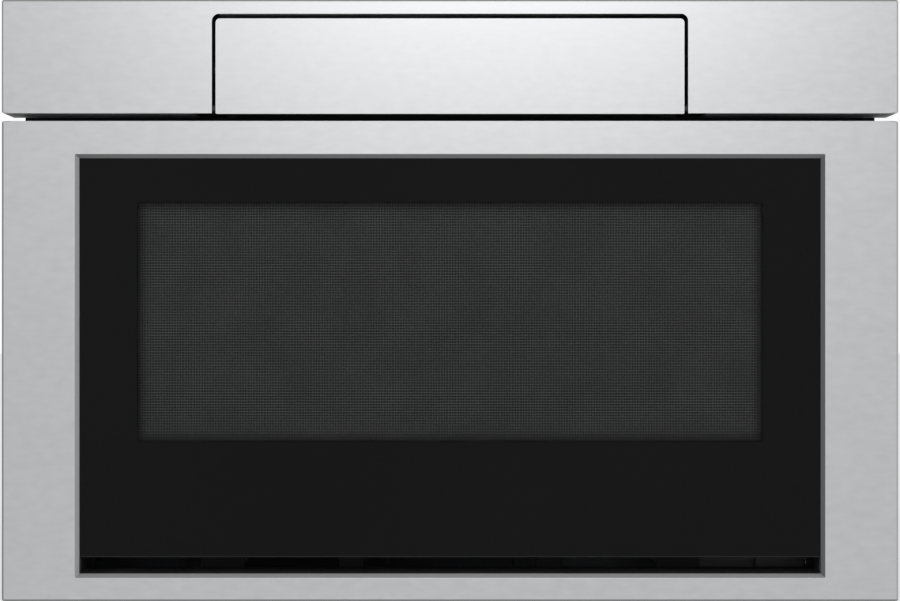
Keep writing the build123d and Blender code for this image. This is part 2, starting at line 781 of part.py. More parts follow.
def slide_brackets():
    """Upright brackets that carry the slides on the base pan, with gussets at their ends."""
    x1 = slide_back_x + slide_bracket_sheet
    z0 = wall_bottom_z
    z1 = slide_centre_z + outer_half
    web = block(slide_back_x, x1, slide_y0, slide_y1, z0, z1)
    foot_z1 = z0 + slide_bracket_sheet
    bracket = web
    for end_y in (slide_y1 - slide_bracket_foot, slide_y0 + slide_length / 2):
        foot_x0 = slide_back_x - slide_bracket_foot
        foot = block(foot_x0, slide_back_x, end_y, end_y + slide_bracket_foot, z0, foot_z1)
        bracket = bracket + foot
    return pair(bracket)


def drawer_brackets():
    """Angle brackets between the door's back and the inner members, tapering to the rear."""
    y0 = door_back_y
    y1 = y0 + drawer_bracket_length
    x0 = inner_face_x - slide_bracket_sheet
    z1 = slide_centre_z + drawer_bracket_top
    web_z0 = rack_root_z + rack_back + rack_flange_height - slide_sheet
    outline = [
        (y0, web_z0),
        (y1, web_z0),
        (y1, slide_centre_z + inner_half),
        (y0 + 3 * lip_width, z1),
        (y0, z1),
    ]
    web = prism_x(outline, x0, inner_face_x)
    flange_y1 = y0 + slide_bracket_sheet
    flange = block(x0, x0 + drawer_bracket_flange, y0, flange_y1, web_z0 - lip_width, z1)
    return pair(web + flange)


# ---- Rack drive
def drive_rack():
    """Toothed rack along the right inner member, teeth down, with its fixing flange."""
    pitch = math.pi * gear_module
    slope = math.tan(math.radians(pressure_angle))
    half_pitch_width = pitch / 4 - gear_backlash / 4
    tip_half = half_pitch_width - (rack_pitch_z - rack_tip_z) * slope
    root_half = half_pitch_width + (rack_root_z - rack_pitch_z) * slope
    back_z = rack_root_z + rack_back
    first = -int(rack_margin / pitch)
    last = int((drawer_travel + rack_margin) / pitch)
    outline = [(rack_y1, back_z), (rack_y0, back_z), (rack_y0, rack_root_z)]
    for tooth in range(first, last + 1):
        centre = pinion_y + tooth * pitch
        if centre - root_half < rack_y0 or centre + root_half > rack_y1:
            continue
        outline.append((centre - root_half, rack_root_z))
        outline.append((centre - tip_half, rack_tip_z))
        outline.append((centre + tip_half, rack_tip_z))
        outline.append((centre + root_half, rack_root_z))
    outline.append((rack_y1, rack_root_z))
    rack = prism_x(outline, rack_x0, inner_face_x)
    flange_x0 = inner_face_x - rack_flange_sheet
    flange = block(flange_x0, inner_face_x, rack_y0, rack_y1, back_z, back_z + rack_flange_height - rack_back)
    return rack + flange


def drive_pinion():
    """Pinion under the rack, with its drive shaft."""
    tip_radius = pinion_radius + rack_addendum * gear_module
    phase = math.pi / 2 + math.pi / pinion_teeth
    outline = gear_outline(pinion_teeth, gear_module, tip_radius, gear_backlash / 2, phase)
    gear = prism_x(placed(outline, pinion_y, pinion_z), rack_x0, inner_face_x)
    hub_x0 = rack_x0 - gearbox_gap
    hub = rod_x(2 * pinion_shaft_radius, hub_x0, rack_x0, pinion_y, pinion_z)
    shaft_x0 = hub_x0 - gearbox_width / 2
    shaft = rod_x(pinion_shaft_radius, shaft_x0, inner_face_x + gearbox_gap, pinion_y, pinion_z)
    return gear + hub + shaft


def drawer_motor():
    """Gear motor on the base pan: ribbed gearbox with fixing lugs, motor can and end boss."""
    x1 = rack_x0 - 2 * gearbox_gap
    x0 = x1 - gearbox_width
    y0 = pinion_y - gearbox_length / 2
    y1 = pinion_y + gearbox_length / 2
    z0 = wall_bottom_z
    z1 = pinion_z + motor_can_radius + gearbox_gap
    box = block(x0, x1, y0, y1, z0, z1)
    box = chamfer(box.edges().filter_by(Axis.X), 2 * gearbox_gap)
    lug_z1 = z0 + 2 * gearbox_gap
    lug = block(x0, x1, y0 - lip_width, y1 + lip_width, z0, lug_z1)
    body = box + lug
    for lug_y in (y0 - lip_width / 2, y1 + lip_width / 2):
        body = body - rod_z(gearbox_gap, z0 - over, lug_z1 + over, (x0 + x1) / 2, lug_y)
    can = rod_x(motor_can_radius, x0 - motor_can_length, x0, pinion_y, pinion_z)
    can = chamfer(can.faces().sort_by(Axis.X)[0].edges(), gearbox_gap)
    boss = rod_x(motor_can_radius / 3, x0 - motor_can_length - 2 * gearbox_gap, x0, pinion_y, pinion_z)
    bore_x0 = rack_x0 - gearbox_gap - gearbox_width / 2 - over
    bore = rod_x(pinion_shaft_radius + shaft_play, bore_x0, x1 + over, pinion_y, pinion_z)
    return body + can + boss - bore


# ---- Fascia and control flap
def fascia_panel():
    """Folded stainless fascia: notch for the flap, and an underside on each side of the flap."""
    rear_y = plate_y - panel_fit
    fascia = slab(front_half, face_y, rear_y, fascia_z0, fascia_z1)
    fascia = fillet(fascia.edges().filter_by(Axis.Y), corner_radius)
    fascia = chamfer(fascia.faces().sort_by(Axis.Y)[0].edges(), edge_ease)
    inner_half_x = front_half - face_sheet
    inner_z0 = fascia_z0 + face_sheet
    inner_z1 = fascia_z1 - face_sheet
    fascia = fascia - slab(inner_half_x, face_y + face_sheet, rear_y + over, inner_z0, inner_z1)
    well_half = flap_aperture_half + lip_width
    fascia = fascia - slab(well_half, face_y + face_sheet, rear_y + over, fascia_z0 - over, inner_z0 + over)
    notch_half = flap_half + flap_side_gap
    notch_z1 = flap_z1 + flap_top_gap
    notch = slab(notch_half, face_y - over, face_y + face_sheet + over, fascia_z0 - notch_radius, notch_z1)
    notch = fillet(notch.edges().filter_by(Axis.Y).sort_by(Axis.Z)[-2:], notch_radius)
    fascia = fascia - notch
    slot_x0 = (well_half + front_half) / 2
    slot_y0 = face_y + front_depth / 3
    slot = block(slot_x0 - lip_width / 2, slot_x0 + lip_width / 2, slot_y0, slot_y0 + lip_width,
                 fascia_z0 - over, inner_z0 + over)
    return fascia - slot - other_side(slot)


def control_housing():
    """Open-bottomed housing behind the flap, stepped under the cabinet's top rail, with hinge bores."""
    step_y = plate_y - panel_fit
    bottom_z = fascia_z0 + panel_fit
    outline = [
        (housing_y0, bottom_z),
        (housing_y1, bottom_z),
        (housing_y1, housing_step_z),
        (step_y, housing_step_z),
        (step_y, housing_top_z),
        (housing_y0, housing_top_z),
    ]
    inner = [
        (housing_y0 - over, bottom_z - over),
        (housing_y1 - housing_wall, bottom_z - over),
        (housing_y1 - housing_wall, housing_step_z - housing_wall),
        (step_y - housing_wall, housing_step_z - housing_wall),
        (step_y - housing_wall, housing_top_z - housing_wall),
        (housing_y0 - over, housing_top_z - housing_wall),
    ]
    housing = prism_x(outline, -housing_outer_half, housing_outer_half)
    housing = housing - prism_x(inner, -housing_inner_half, housing_inner_half)
    pin_bore = rod_x(hinge_pin_radius + shaft_play, -housing_outer_half - over, housing_outer_half + over,
                     hinge_y, hinge_z)
    shaft_bore = rod_x(hinge_pin_radius + over, -housing_outer_half - over, -housing_inner_half + over,
                       flap_pinion_y, flap_pinion_z)
    return housing - pin_bore - shaft_bore


def flap_panel():
    """Stainless face of the control flap, folded back all round."""
    panel = slab(flap_half, face_y, face_y + flap_return, flap_z0, flap_z1)
    corners = panel.edges().filter_by(Axis.Y).sort_by(Axis.Z)
    panel = fillet(corners[2:], flap_top_radius)
    corners = panel.edges().filter_by(Axis.Y).sort_by(Axis.Z)
    panel = fillet(corners[:2], flap_bottom_radius)
    panel = chamfer(panel.faces().sort_by(Axis.Y)[0].edges(), edge_ease)
    hollow = slab(flap_half - face_sheet, face_y + face_sheet, face_y + flap_return + over,
                  flap_z0 + face_sheet, flap_z1 - face_sheet)
    pin_notch = rod_x(hinge_pin_radius + panel_fit, -flap_half - over, flap_half + over, hinge_y, hinge_z)
    return panel - hollow - pin_notch


def flap_point(forward, up):
    """(y, z) of a point given from the flap's hinge pin."""
    return (hinge_y - forward, hinge_z + up)


def glass_line():
    """Front and rear ends of the touch glass's upper face, from the hinge pin, and its unit normal."""
    front_forward = hinge_setback - face_sheet - flap_return
    front_up = flap_height - hinge_rise - face_sheet - flap_glass_drop
    run = -flap_rear_reach - front_forward
    rise = flap_rear_rise - front_up
    length = math.hypot(run, rise)
    return (front_forward, front_up), (-flap_rear_reach, flap_rear_rise), (rise / length, -run / length)


def below_glass(point, normal, depth):
    """Point moved down from the glass's face by a depth."""
    return flap_point(point[0] - normal[0] * depth, point[1] - normal[1] * depth)


def control_glass():
    """Touch glass on the upper face of the flap, seen when the flap is open."""
    front, rear, normal = glass_line()
    outline = [
        below_glass(front, normal, 0),
        below_glass(rear, normal, 0),
        below_glass(rear, normal, flap_glass_thickness),
        below_glass(front, normal, flap_glass_thickness),
    ]
    half = flap_glass_width / 2
    return prism_x(outline, -half, half)


def flap_housing():
    """Moulded wedge behind the flap's face: board pocket, hinge pins and a toothed sector on its left."""
    front, rear, normal = glass_line()
    face_forward = hinge_setback - face_sheet - panel_fit
    low = -hinge_rise + face_sheet + panel_fit
    ledge = flap_glass_thickness + panel_fit
    seat_front = below_glass(front, normal, ledge)
    seat_rear = below_glass(rear, normal, ledge)
    outline = [
        flap_point(face_forward, low),
        flap_point(face_forward, front[1] - face_sheet),
        seat_front,
        seat_rear,
        flap_point(-flap_rear_reach + flap_wall, flap_rear_rise / 2),
        flap_point(-hinge_setback, low),
    ]
    body = prism_x(outline, -flap_body_half, flap_body_half)
    pocket_rear_up = flap_rear_rise / 2 + flap_wall
    pocket = [
        flap_point(face_forward - flap_wall, low + flap_wall),
        below_glass((front[0] - flap_wall, front[1] - flap_wall), normal, 0),
        below_glass((rear[0] + 2 * flap_wall, rear[1] + flap_wall), normal, 0),
        flap_point(-flap_rear_reach + 3 * flap_wall, pocket_rear_up),
        flap_point(-hinge_setback, low + flap_wall),
    ]
    pocket_half = flap_glass_width / 2 - flap_wall
    body = body - prism_x(pocket, -pocket_half, pocket_half)
    pin = rod_x(hinge_pin_radius, flap_body_half - hinge_pin_length, housing_outer_half, hinge_y, hinge_z)
    body = body + pin + other_side(pin)
    tip_radius = sector_module * (sector_teeth / 2 + 1)
    phase = math.radians(sector_mesh_angle)
    gear = gear_outline(sector_teeth, sector_module, tip_radius, sector_backlash / 2, phase)
    sector = prism_x(placed(gear, hinge_y, hinge_z), sector_x0, sector_x0 + sector_thickness)
    reach = 2 * tip_radius
    low_angle = math.radians(sector_low_angle)
    high_angle = math.radians(sector_high_angle)
    wedge = [
        (hinge_y, hinge_z),
        (hinge_y + reach * math.cos(low_angle), hinge_z + reach * math.sin(low_angle)),
        (hinge_y + reach, hinge_z + reach),
        (hinge_y + reach * math.cos(high_angle), hinge_z + reach * math.sin(high_angle)),
    ]
    sector = sector & prism_x(wedge, sector_x0, sector_x0 + sector_thickness)
    inner_tip = sector_module * sector_teeth / 2 - 3 * sector_module
    arm = rod_x(inner_tip, sector_x0, -flap_body_half, hinge_y, hinge_z)
    arm = arm & prism_x(wedge, sector_x0, -flap_body_half)
    return body + sector + arm


def control_board():
    """Circuit board under the touch glass, with its connector block."""
    front, rear, normal = glass_line()
    near = (front[0] - 3 * flap_wall, front[1] - 3 * flap_wall * (front[1] - rear[1]) / (front[0] - rear[0]))
    far = (rear[0] + 4 * flap_wall, rear[1] + 4 * flap_wall * (front[1] - rear[1]) / (front[0] - rear[0]))
    top = flap_glass_thickness + panel_fit
    bottom = top + board_thickness
    outline = [
        below_glass(near, normal, top),
        below_glass(far, normal, top),
        below_glass(far, normal, bottom),
        below_glass(near, normal, bottom),
    ]
    half = flap_glass_width / 2 - 3 * flap_wall
    return prism_x(outline, -half, half)


def flap_pinion():
    """Small pinion that drives the flap's sector, with its shaft."""
    tip_radius = sector_module * (sector_pinion_teeth / 2 + 1)
    phase = math.radians(sector_mesh_angle) + math.pi + math.pi / sector_pinion_teeth
    outline = gear_outline(sector_pinion_teeth, sector_module, tip_radius, sector_backlash / 2, phase)
    gear = prism_x(placed(outline, flap_pinion_y, flap_pinion_z), sector_x0, sector_x0 + sector_thickness)
    shaft_x0 = -housing_outer_half - flap_motor_length / 2
    shaft = rod_x(hinge_pin_radius - over / 2, shaft_x0, sector_x0, flap_pinion_y, flap_pinion_z)
    return gear + shaft


def flap_motor():
    """Geared motor of the flap on the left side wall of the control housing."""
    x1 = -housing_outer_half - panel_fit
    x0 = x1 - flap_motor_length
    can = rod_x(flap_motor_radius, x0, x1, flap_pinion_y, flap_pinion_z)
    ear_half = flap_motor_radius + 2 * flap_wall
    ear = block(x1 - flap_wall, x1, flap_pinion_y - flap_motor_radius, flap_pinion_y + flap_motor_radius,
                flap_pinion_z - ear_half, flap_pinion_z + ear_half)
    bore = rod_x(hinge_pin_radius - over / 2 + shaft_play, x1 - flap_motor_length / 2 - over, x1 + over,
                 flap_pinion_y, flap_pinion_z)
    return can + ear - bore


# ---- Interlock
def latch_hook():
    """Right interlock hook: pivot pin, arm and a ramped nose that works the switch."""
    pin_y = door_back_y - hook_pin_setback
    nose_y = door_back_y + hook_reach
    half = hook_height / 2
    outline = [
        (pin_y - half, hook_z - half),
        (nose_y - hook_height, hook_z - half),
        (nose_y - hook_height, hook_z - hook_height + over),
        (nose_y - half, hook_z - hook_height + over),
        (nose_y, hook_z - half / 2),
        (nose_y, hook_z + half / 2),
        (nose_y - half, hook_z + half),
        (pin_y - half, hook_z + half),
    ]
    x0 = hook_x - hook_thickness / 2
    x1 = hook_x + hook_thickness / 2
    arm = prism_x(outline, x0, x1)
    arm = chamfer(arm.edges().filter_by(Axis.X).sort_by(Axis.Y)[:2], half / 2)
    pin_x0 = x0 - over - back_sheet - over
    pin_x1 = x1 + over + back_sheet + over
    return arm + rod_x(hook_pin_radius, pin_x0, pin_x1, pin_y, hook_z)


def interlock_brackets():
    """Side brackets behind the front plate that carry the interlock switches."""
    x1 = side_inner_x - panel_fit
    x0 = hook_x + hook_thickness / 2 + 2 * over
    y0 = cabinet_y + panel_fit
    y1 = y0 + 2 * hook_reach
    z0 = hook_z - 3 * hook_height
    z1 = hook_z + 5 * hook_height
    web = block(x0, x0 + vent_sheet, y0, y1, z0, z1)
    flange = block(x0, x1, y0, y0 + vent_sheet, z0, z1)
    rear = block(x0, x1, y1 - vent_sheet, y1, z0, z1)
    return pair(web + flange + rear)


def interlock_switches():
    """Snap-action switches above the hooks' noses, on the brackets' webs."""
    x1 = hook_x + hook_thickness / 2 + 2 * over
    x0 = x1 - 2 * hook_thickness
    nose_y = door_back_y + hook_reach
    swing_rise = (hook_reach + hook_pin_setback) * math.sin(math.radians(hook_swing))
    z0 = hook_z + hook_height / 2 + swing_rise + switch_gap
    switch = block(x0, x1, nose_y - 2 * hook_height, nose_y, z0 + over, z0 + 2 * hook_height)
    plunger = rod_z(over, z0, z0 + 2 * over, (x0 + x1) / 2, nose_y - hook_height)
    terminal = block(x0 + over, x0 + 2 * over, nose_y - hook_height, nose_y - hook_height / 2,
                     z0 + 2 * hook_height, z0 + 3 * hook_height)
    return pair(switch + plunger + terminal)


# ---- Front plate
def vent_slots():
    """The five vent slots of the front plate, from the centre outwards."""
    z0 = mouth_z0
    z1 = z0 + vent_slot_height
    y0 = plate_y - over
    y1 = cabinet_y + over
    centre = slab(vent_centre_width / 2, y0, y1, z0, z1)
    inner_x0 = vent_centre_width / 2 + vent_inner_web
    inner_x1 = inner_x0 + vent_inner_width
    outer_x0 = inner_x1 + vent_outer_web
    outer_x1 = mouth_half - vent_outer_inset
    inner = block(inner_x0, inner_x1, y0, y1, z0, z1)
    outer = block(outer_x0, outer_x1, y0, y1, z0, z1)
    return centre + pair(inner) + pair(outer)


def plate_form(y0, y1):
    """Outline of the front plate, between two y planes."""
    form = slab(plate_half, y0, y1, drawer_z0 + plate_inset, fascia_z1 - 2 * plate_inset)
    return fillet(form.edges().filter_by(Axis.Y), plate_corner)


def front_plate():
    """Front plate: side flanges, oven mouth, rail, vent and hook openings, flap aperture, fixing holes."""
    through = (plate_y - over, cabinet_y + over)
    flange_x0 = chassis_half + panel_fit + plate_joggle
    web = plate_form(plate_y, cabinet_y) & slab(flange_x0 + plate_sheet, *through, drawer_z0, fascia_z1)
    flanges = plate_form(plate_y + plate_joggle, cabinet_y + plate_joggle)
    plate = web + (flanges - slab(flange_x0, *through, drawer_z0, fascia_z1))
    plate = plate - slab(cavity_half, *through, cavity_z0, cavity_z1)
    plate = plate - vent_slots()
    rail_x0 = rack_x0 - over
    rail_x1 = slide_back_x + over
    rail_z0 = rack_tip_z - rail_opening_margin
    rail_z1 = slide_centre_z + outer_half + rail_opening_margin
    rail = block(rail_x0, rail_x1, *through, rail_z0, rail_z1)
    plate = plate - rail - other_side(rail)
    slot_half = hook_thickness / 2 + over
    hook_slot = block(hook_x - slot_half, hook_x + slot_half, *through, hook_z - hook_height,
                      hook_z + 2 * hook_height)
    plate = plate - hook_slot - other_side(hook_slot)
    plate = plate - slab(flap_aperture_half, *through, fascia_z0, cut_out_height)
    hole_x = plate_half - cabinet_screw_inset
    for hole_z in (cabinet_screw_rise, cabinet_screw_rise + cabinet_screw_pitch):
        hole = rod_y(cabinet_screw_radius, *through, hole_x, hole_z)
        plate = plate - hole - other_side(hole)
    return plate


# ---- Chassis panels
def base_pan():
    """Base pan with turned-up sides, pressed ribs and intake slots under the rear compartment."""
    pan = slab(chassis_half, cabinet_y, back_y, 0, sheet)
    flange = block(chassis_half - sheet, chassis_half, cabinet_y, back_y, 0, pan_flange)
    pan = pan + flange + other_side(flange)
    rib_length = chassis_depth / 2
    places = []
    for step in range(4):
        place_x = chassis_width / 5 * (step - 3 / 2)
        places.append(Pos(place_x, -chassis_depth / 10, 0) * Rot(0, 0, 90))
    pan = add_ribs(pan, places, rib_length, rib_width, rib_height, sheet)
    slots = Rot(90, 0, 0) * slot_row(7, vent_pitch, vent_gap, vent_length / 2, 4 * sheet)
    return pan - Pos(chassis_half / 2, rear_centre_y, 0) * slots


def side_panel():
    """Right side panel with a return at its rear and exhaust slots beside the rear compartment."""
    x0 = side_inner_x
    x1 = side_inner_x + sheet
    y0 = cabinet_y + panel_fit
    y1 = rear_y - panel_fit
    panel = block(x0, x1, y0, y1, wall_bottom_z, wall_top_z)
    panel = panel + block(x1 - pan_flange, x1, y1 - sheet, y1, wall_bottom_z, wall_top_z)
    slots = Rot(0, 0, 90) * slot_row(6, vent_pitch, vent_gap, vent_length, 4 * sheet)
    panel = panel - Pos((x0 + x1) / 2, rear_centre_y, chassis_height * 2 / 3) * slots
    places = []
    for height in (chassis_height / 3, chassis_height * 2 / 3):
        rib_plane = Plane(origin=(x1, -chassis_depth / 10, height), x_dir=(0, 1, 0), z_dir=(-1, 0, 0))
        places.append(rib_plane.location)
    panel = add_ribs(panel, places, chassis_depth / 2, rib_width, rib_height, sheet)
    return panel - screw_holes()


def top_cover():
    """Top cover with turned-down sides, notched round the control housing."""
    cover = slab(chassis_half, cabinet_y, back_y, chassis_height - sheet, chassis_height)
    flange_z0 = chassis_height - pan_flange
    flange = block(chassis_half - sheet, chassis_half, cabinet_y, back_y, flange_z0, chassis_height)
    cover = cover + flange + other_side(flange)
    notch_y1 = housing_y1 + panel_fit
    cover = cover - slab(flap_aperture_half, cabinet_y - over, notch_y1, flange_z0, chassis_height + over)
    places = []
    for step in range(3):
        place_y = cabinet_y + chassis_depth * (step + 2) / 6
        places.append(Pos(0, place_y, chassis_height) * Rot(180, 0, 0))
    cover = add_ribs(cover, places, chassis_width * 2 / 3, rib_width, rib_height, sheet)
    return cover - screw_holes()


def rear_panel():
    """Rear panel with two fields of vent slots and the cord hole."""
    half_x = side_inner_x - panel_fit
    panel = slab(half_x, rear_y, back_y, wall_bottom_z, wall_top_z)
    field = slot_row(8, vent_pitch, vent_gap, vent_length, 4 * sheet)
    for field_x in (-half_x / 2, half_x / 2):
        panel = panel - Pos(field_x, back_y, chassis_height * 2 / 3) * field
    panel = panel - rod_y(gland_hole_radius, rear_y - over, back_y + over, gland_x, gland_z)
    return panel - screw_holes()


def cord_gland():
    """Cord inlet bush: outer flange, body through the rear panel and inner ring."""
    y1 = back_y + 2 * vent_sheet
    y0 = y1 - gland_length
    bush = rod_y(gland_hole_radius - panel_fit, y0, y1, gland_x, gland_z)
    flange = rod_y(gland_flange_radius, back_y, y1, gland_x, gland_z)
    flange = chamfer(flange.faces().sort_by(Axis.Y)[-1].edges(), over)
    return bush + flange - rod_y(gland_bore_radius, y0 - over, y1 + over, gland_x, gland_z)


def chassis_screws():
    """Hexagon screws that hold the rear panel and the top cover's sides."""
    head = extrude(RegularPolygon(screw_head, 6), amount=screw_head_height)
    shank = Pos(0, 0, -screw_length) * extrude(RegularPolygon(screw_shank, 6), amount=screw_length)
    screw = head + shank
    return Part() + [place * screw for place in screw_places()]


# ---- Fixed cavity
def cavity_wrapper():
    """Floor and side walls of the fixed cavity, bent from one sheet, with air holes in the right wall."""
    y0 = cabinet_y + panel_fit
    outer = slab(cavity_half + sheet, y0, cavity_y1, cavity_z0 - sheet, cavity_z1)
    outer = fillet(outer.edges().filter_by(Axis.Y).sort_by(Axis.Z)[:2], cavity_bend + sheet)
    inner = slab(cavity_half, y0 - over, cavity_y1 + over, cavity_z0, cavity_z1 + over)
    inner = fillet(inner.edges().filter_by(Axis.Y).sort_by(Axis.Z)[:2], cavity_bend)
    wrapper = outer - inner
    holes = Rot(0, 0, 90) * slot_row(6, vent_pitch, vent_gap, vent_length / 2, 4 * sheet)
    wrapper = wrapper - Pos(cavity_half + sheet / 2, cavity_y1 - vent_length, cavity_z1 - vent_length) * holes
    return wrapper


def eight_sided(half):
    """Square with its corners cut off, for the stirrer's dome and cover."""
    square = Rectangle(2 * half, 2 * half)
    return chamfer(square.vertices(), dome_corner)


def cavity_ceiling():
    """Ceiling of the cavity with the stirrer's dome, the feed opening, lamp holes and turned-up edges."""
    y0 = cabinet_y + panel_fit
    plate = slab(cavity_half + sheet, y0, cavity_y1, cavity_z1, cavity_z1 + sheet)
    draft = math.degrees(math.atan((dome_half - dome_top_half) / dome_height))
    dome_outer = extrude(eight_sided(dome_half), amount=dome_height, taper=draft)
    dome_inner = extrude(eight_sided(dome_half - sheet), amount=dome_height - sheet, taper=draft)
    dome_place = Pos(0, stirrer_y, cavity_z1)
    plate = plate + dome_place * dome_outer - dome_place * dome_inner
    feed_y0 = stirrer_y - feed_length / 2
    feed = slab(feed_width / 2, feed_y0, feed_y0 + feed_length, dome_top_z - 2 * sheet, dome_top_z + over)
    bridge = rod_z(4 * stirrer_shaft_radius, dome_top_z - sheet, dome_top_z, 0, stirrer_y)
    spoke = slab(stirrer_shaft_radius * 2, feed_y0, feed_y0 + feed_length, dome_top_z - sheet, dome_top_z)
    plate = plate - feed + bridge + spoke
    hole_radius = stirrer_shaft_radius + over
    plate = plate - rod_z(hole_radius, dome_top_z - 2 * sheet, dome_top_z + over, 0, stirrer_y)
    lamp_holes = Rot(90, 0, 0) * slot_row(3, 2 * lamp_hole, lamp_hole, lamp_hole, 4 * sheet)
    for row in range(-1, 2):
        plate = plate - Pos(lamp_x, lamp_y + row * 2 * lamp_hole, cavity_z1) * lamp_holes
    edge = block(cavity_half, cavity_half + sheet, y0, cavity_y1, cavity_z1, cavity_z1 + pan_flange)
    return plate + edge + other_side(edge)


def cavity_rear():
    """Rear wall of the cavity, pressed outwards by a shallow panel."""
    wall = slab(cavity_half + sheet, cavity_y1, cavity_back_y, cavity_z0 - sheet, cavity_z1 + sheet)
    holes = slot_row(6, vent_pitch, vent_gap, vent_length / 2, 4 * sheet)
    return wall - Pos(-cavity_half * 2 / 3, cavity_y1, cavity_z1 - vent_length) * holes


def stirrer_cover():
    """Microwave-clear cover that closes the stirrer's dome from below, with an eased rim."""
    place = Pos(0, stirrer_y, cavity_z1 - panel_fit - stirrer_cover_thickness)
    cover = place * extrude(eight_sided(dome_half + stirrer_cover_thickness), amount=stirrer_cover_thickness)
    return chamfer(cover.faces().sort_by(Axis.Z)[0].edges(), stirrer_cover_thickness / 2)


def stirrer_blade():
    """Stirrer: tilted vanes on a hub and shaft that runs up through the waveguide."""
    vane_z = (cavity_z1 + dome_top_z) / 2
    root_half = stirrer_vane_root / 2
    tip_half = stirrer_vane_width / 2
    outline = [(0, -root_half), (stirrer_radius, -tip_half), (stirrer_radius, tip_half), (0, root_half)]
    vane = Rot(stirrer_vane_tilt, 0, 0) * prism_z(outline, -sheet / 2, sheet / 2)
    blade = rod_z(stirrer_vane_root * 2 / 3, vane_z - 2 * sheet, vane_z + 2 * sheet, 0, stirrer_y)
    for index in range(stirrer_vanes):
        turn = Rot(0, 0, index * 360 / stirrer_vanes)
        blade = blade + Pos(0, stirrer_y, vane_z) * turn * vane
    shaft_z1 = waveguide_z1 + 4 * stirrer_shaft_radius
    return blade + rod_z(stirrer_shaft_radius, vane_z - 2 * sheet, shaft_z1, 0, stirrer_y)


def stirrer_motor():
    """Flat synchronous motor on the waveguide, with two fixing ears."""
    z0 = waveguide_z1 + panel_fit
    height = 6 * stirrer_shaft_radius
    radius = waveguide_half / 2
    motor = rod_z(radius, z0, z0 + height, 0, stirrer_y)
    motor = chamfer(motor.faces().sort_by(Axis.Z)[-1].edges(), over)
    ear_outline = Rectangle(3 * radius, radius / 2)
    ears = extrude(Plane.XY.offset(z0) * Pos(0, stirrer_y, 0) * ear_outline, amount=vent_sheet)
    motor = motor + ears
    bore_z1 = waveguide_z1 + 4 * stirrer_shaft_radius + over
    return motor - rod_z(stirrer_shaft_radius + shaft_play, z0 - over, bore_z1, 0, stirrer_y)


def waveguide():
    """Rectangular waveguide from the magnetron's antenna to the stirrer, with a sloping front end."""
    outline = [
        (waveguide_y0 + waveguide_height / 2, waveguide_z1),
        (waveguide_y0, waveguide_z1 - waveguide_height / 2),
        (waveguide_y0, dome_top_z),
        (waveguide_y1, dome_top_z),
        (waveguide_y1, waveguide_z1),
    ]
    inner = [
        (waveguide_y0 + waveguide_height / 2, waveguide_z1 - sheet),
        (waveguide_y0 + sheet, waveguide_z1 - waveguide_height / 2),
        (waveguide_y0 + sheet, dome_top_z + sheet),
        (waveguide_y1 - sheet, dome_top_z + sheet),
        (waveguide_y1 - sheet, waveguide_z1 - sheet),
    ]
    duct = prism_x(outline, -waveguide_half, waveguide_half)
    duct = duct - prism_x(inner, -waveguide_half + sheet, waveguide_half - sheet)
    feed_y0 = stirrer_y - feed_length / 2
    feed = slab(feed_width / 2, feed_y0, feed_y0 + feed_length, dome_top_z - over, dome_top_z + 2 * sheet)
    duct = duct - feed
    hole_radius = stirrer_shaft_radius + over
    shaft_hole = rod_z(hole_radius, waveguide_z1 - 2 * sheet, waveguide_z1 + over, 0, stirrer_y)
    antenna_hole = rod_z(antenna_radius + over, dome_top_z - over, dome_top_z + 2 * sheet, 0, rear_centre_y)
    return duct - shaft_hole - antenna_hole


def twelve_sided(radius, z0, z1):
    """Twelve-sided body on the magnetron's axis."""
    return Pos(0, rear_centre_y, z0) * extrude(RegularPolygon(radius, 12), amount=z1 - z0)


def magnetron():
    """Magnetron: yoke open to the side airflow, finned anode, ring magnets, filter box and antenna."""
    half_x = magnetron_width / 2
    half_y = magnetron_depth / 2
    z1 = dome_top_z - panel_fit
    z0 = z1 - magnetron_height
    plate = 2 * sheet
    yoke = block(-half_x, half_x, rear_centre_y - half_y, rear_centre_y + half_y, z0, z1)
    yoke = yoke - block(-half_x - over, half_x + over, rear_centre_y - half_y + plate,
                        rear_centre_y + half_y - plate, z0 + plate, z1 - plate)
    anode = twelve_sided(half_y / 2, z0, z1)
    magnet_height = magnetron_height / 5
    magnets = twelve_sided(half_y * 3 / 4, z0, z0 + magnet_height)
    magnets = magnets + twelve_sided(half_y * 3 / 4, z1 - magnet_height, z1)
    body = yoke + anode + magnets
    fin_pitch = (magnetron_height - 2 * magnet_height) / (magnetron_fins + 1)
    fin_half_y = half_y - plate
    for index in range(magnetron_fins):
        fin_z = z0 + magnet_height + fin_pitch * (index + 1)
        fin = block(-half_x + plate, half_x - plate, rear_centre_y - fin_half_y, rear_centre_y + fin_half_y,
                    fin_z - sheet / 2, fin_z + sheet / 2)
        body = body + fin
    box_height = magnetron_height / 2
    filter_box = block(-half_y, half_y, rear_centre_y - half_y + plate, rear_centre_y + half_y - plate,
                       z0 - box_height, z0)
    antenna = rod_z(antenna_radius, z1, z1 + antenna_height, 0, rear_centre_y)
    antenna = chamfer(antenna.faces().sort_by(Axis.Z)[-1].edges(), antenna_radius / 2)
    return body + filter_box + antenna


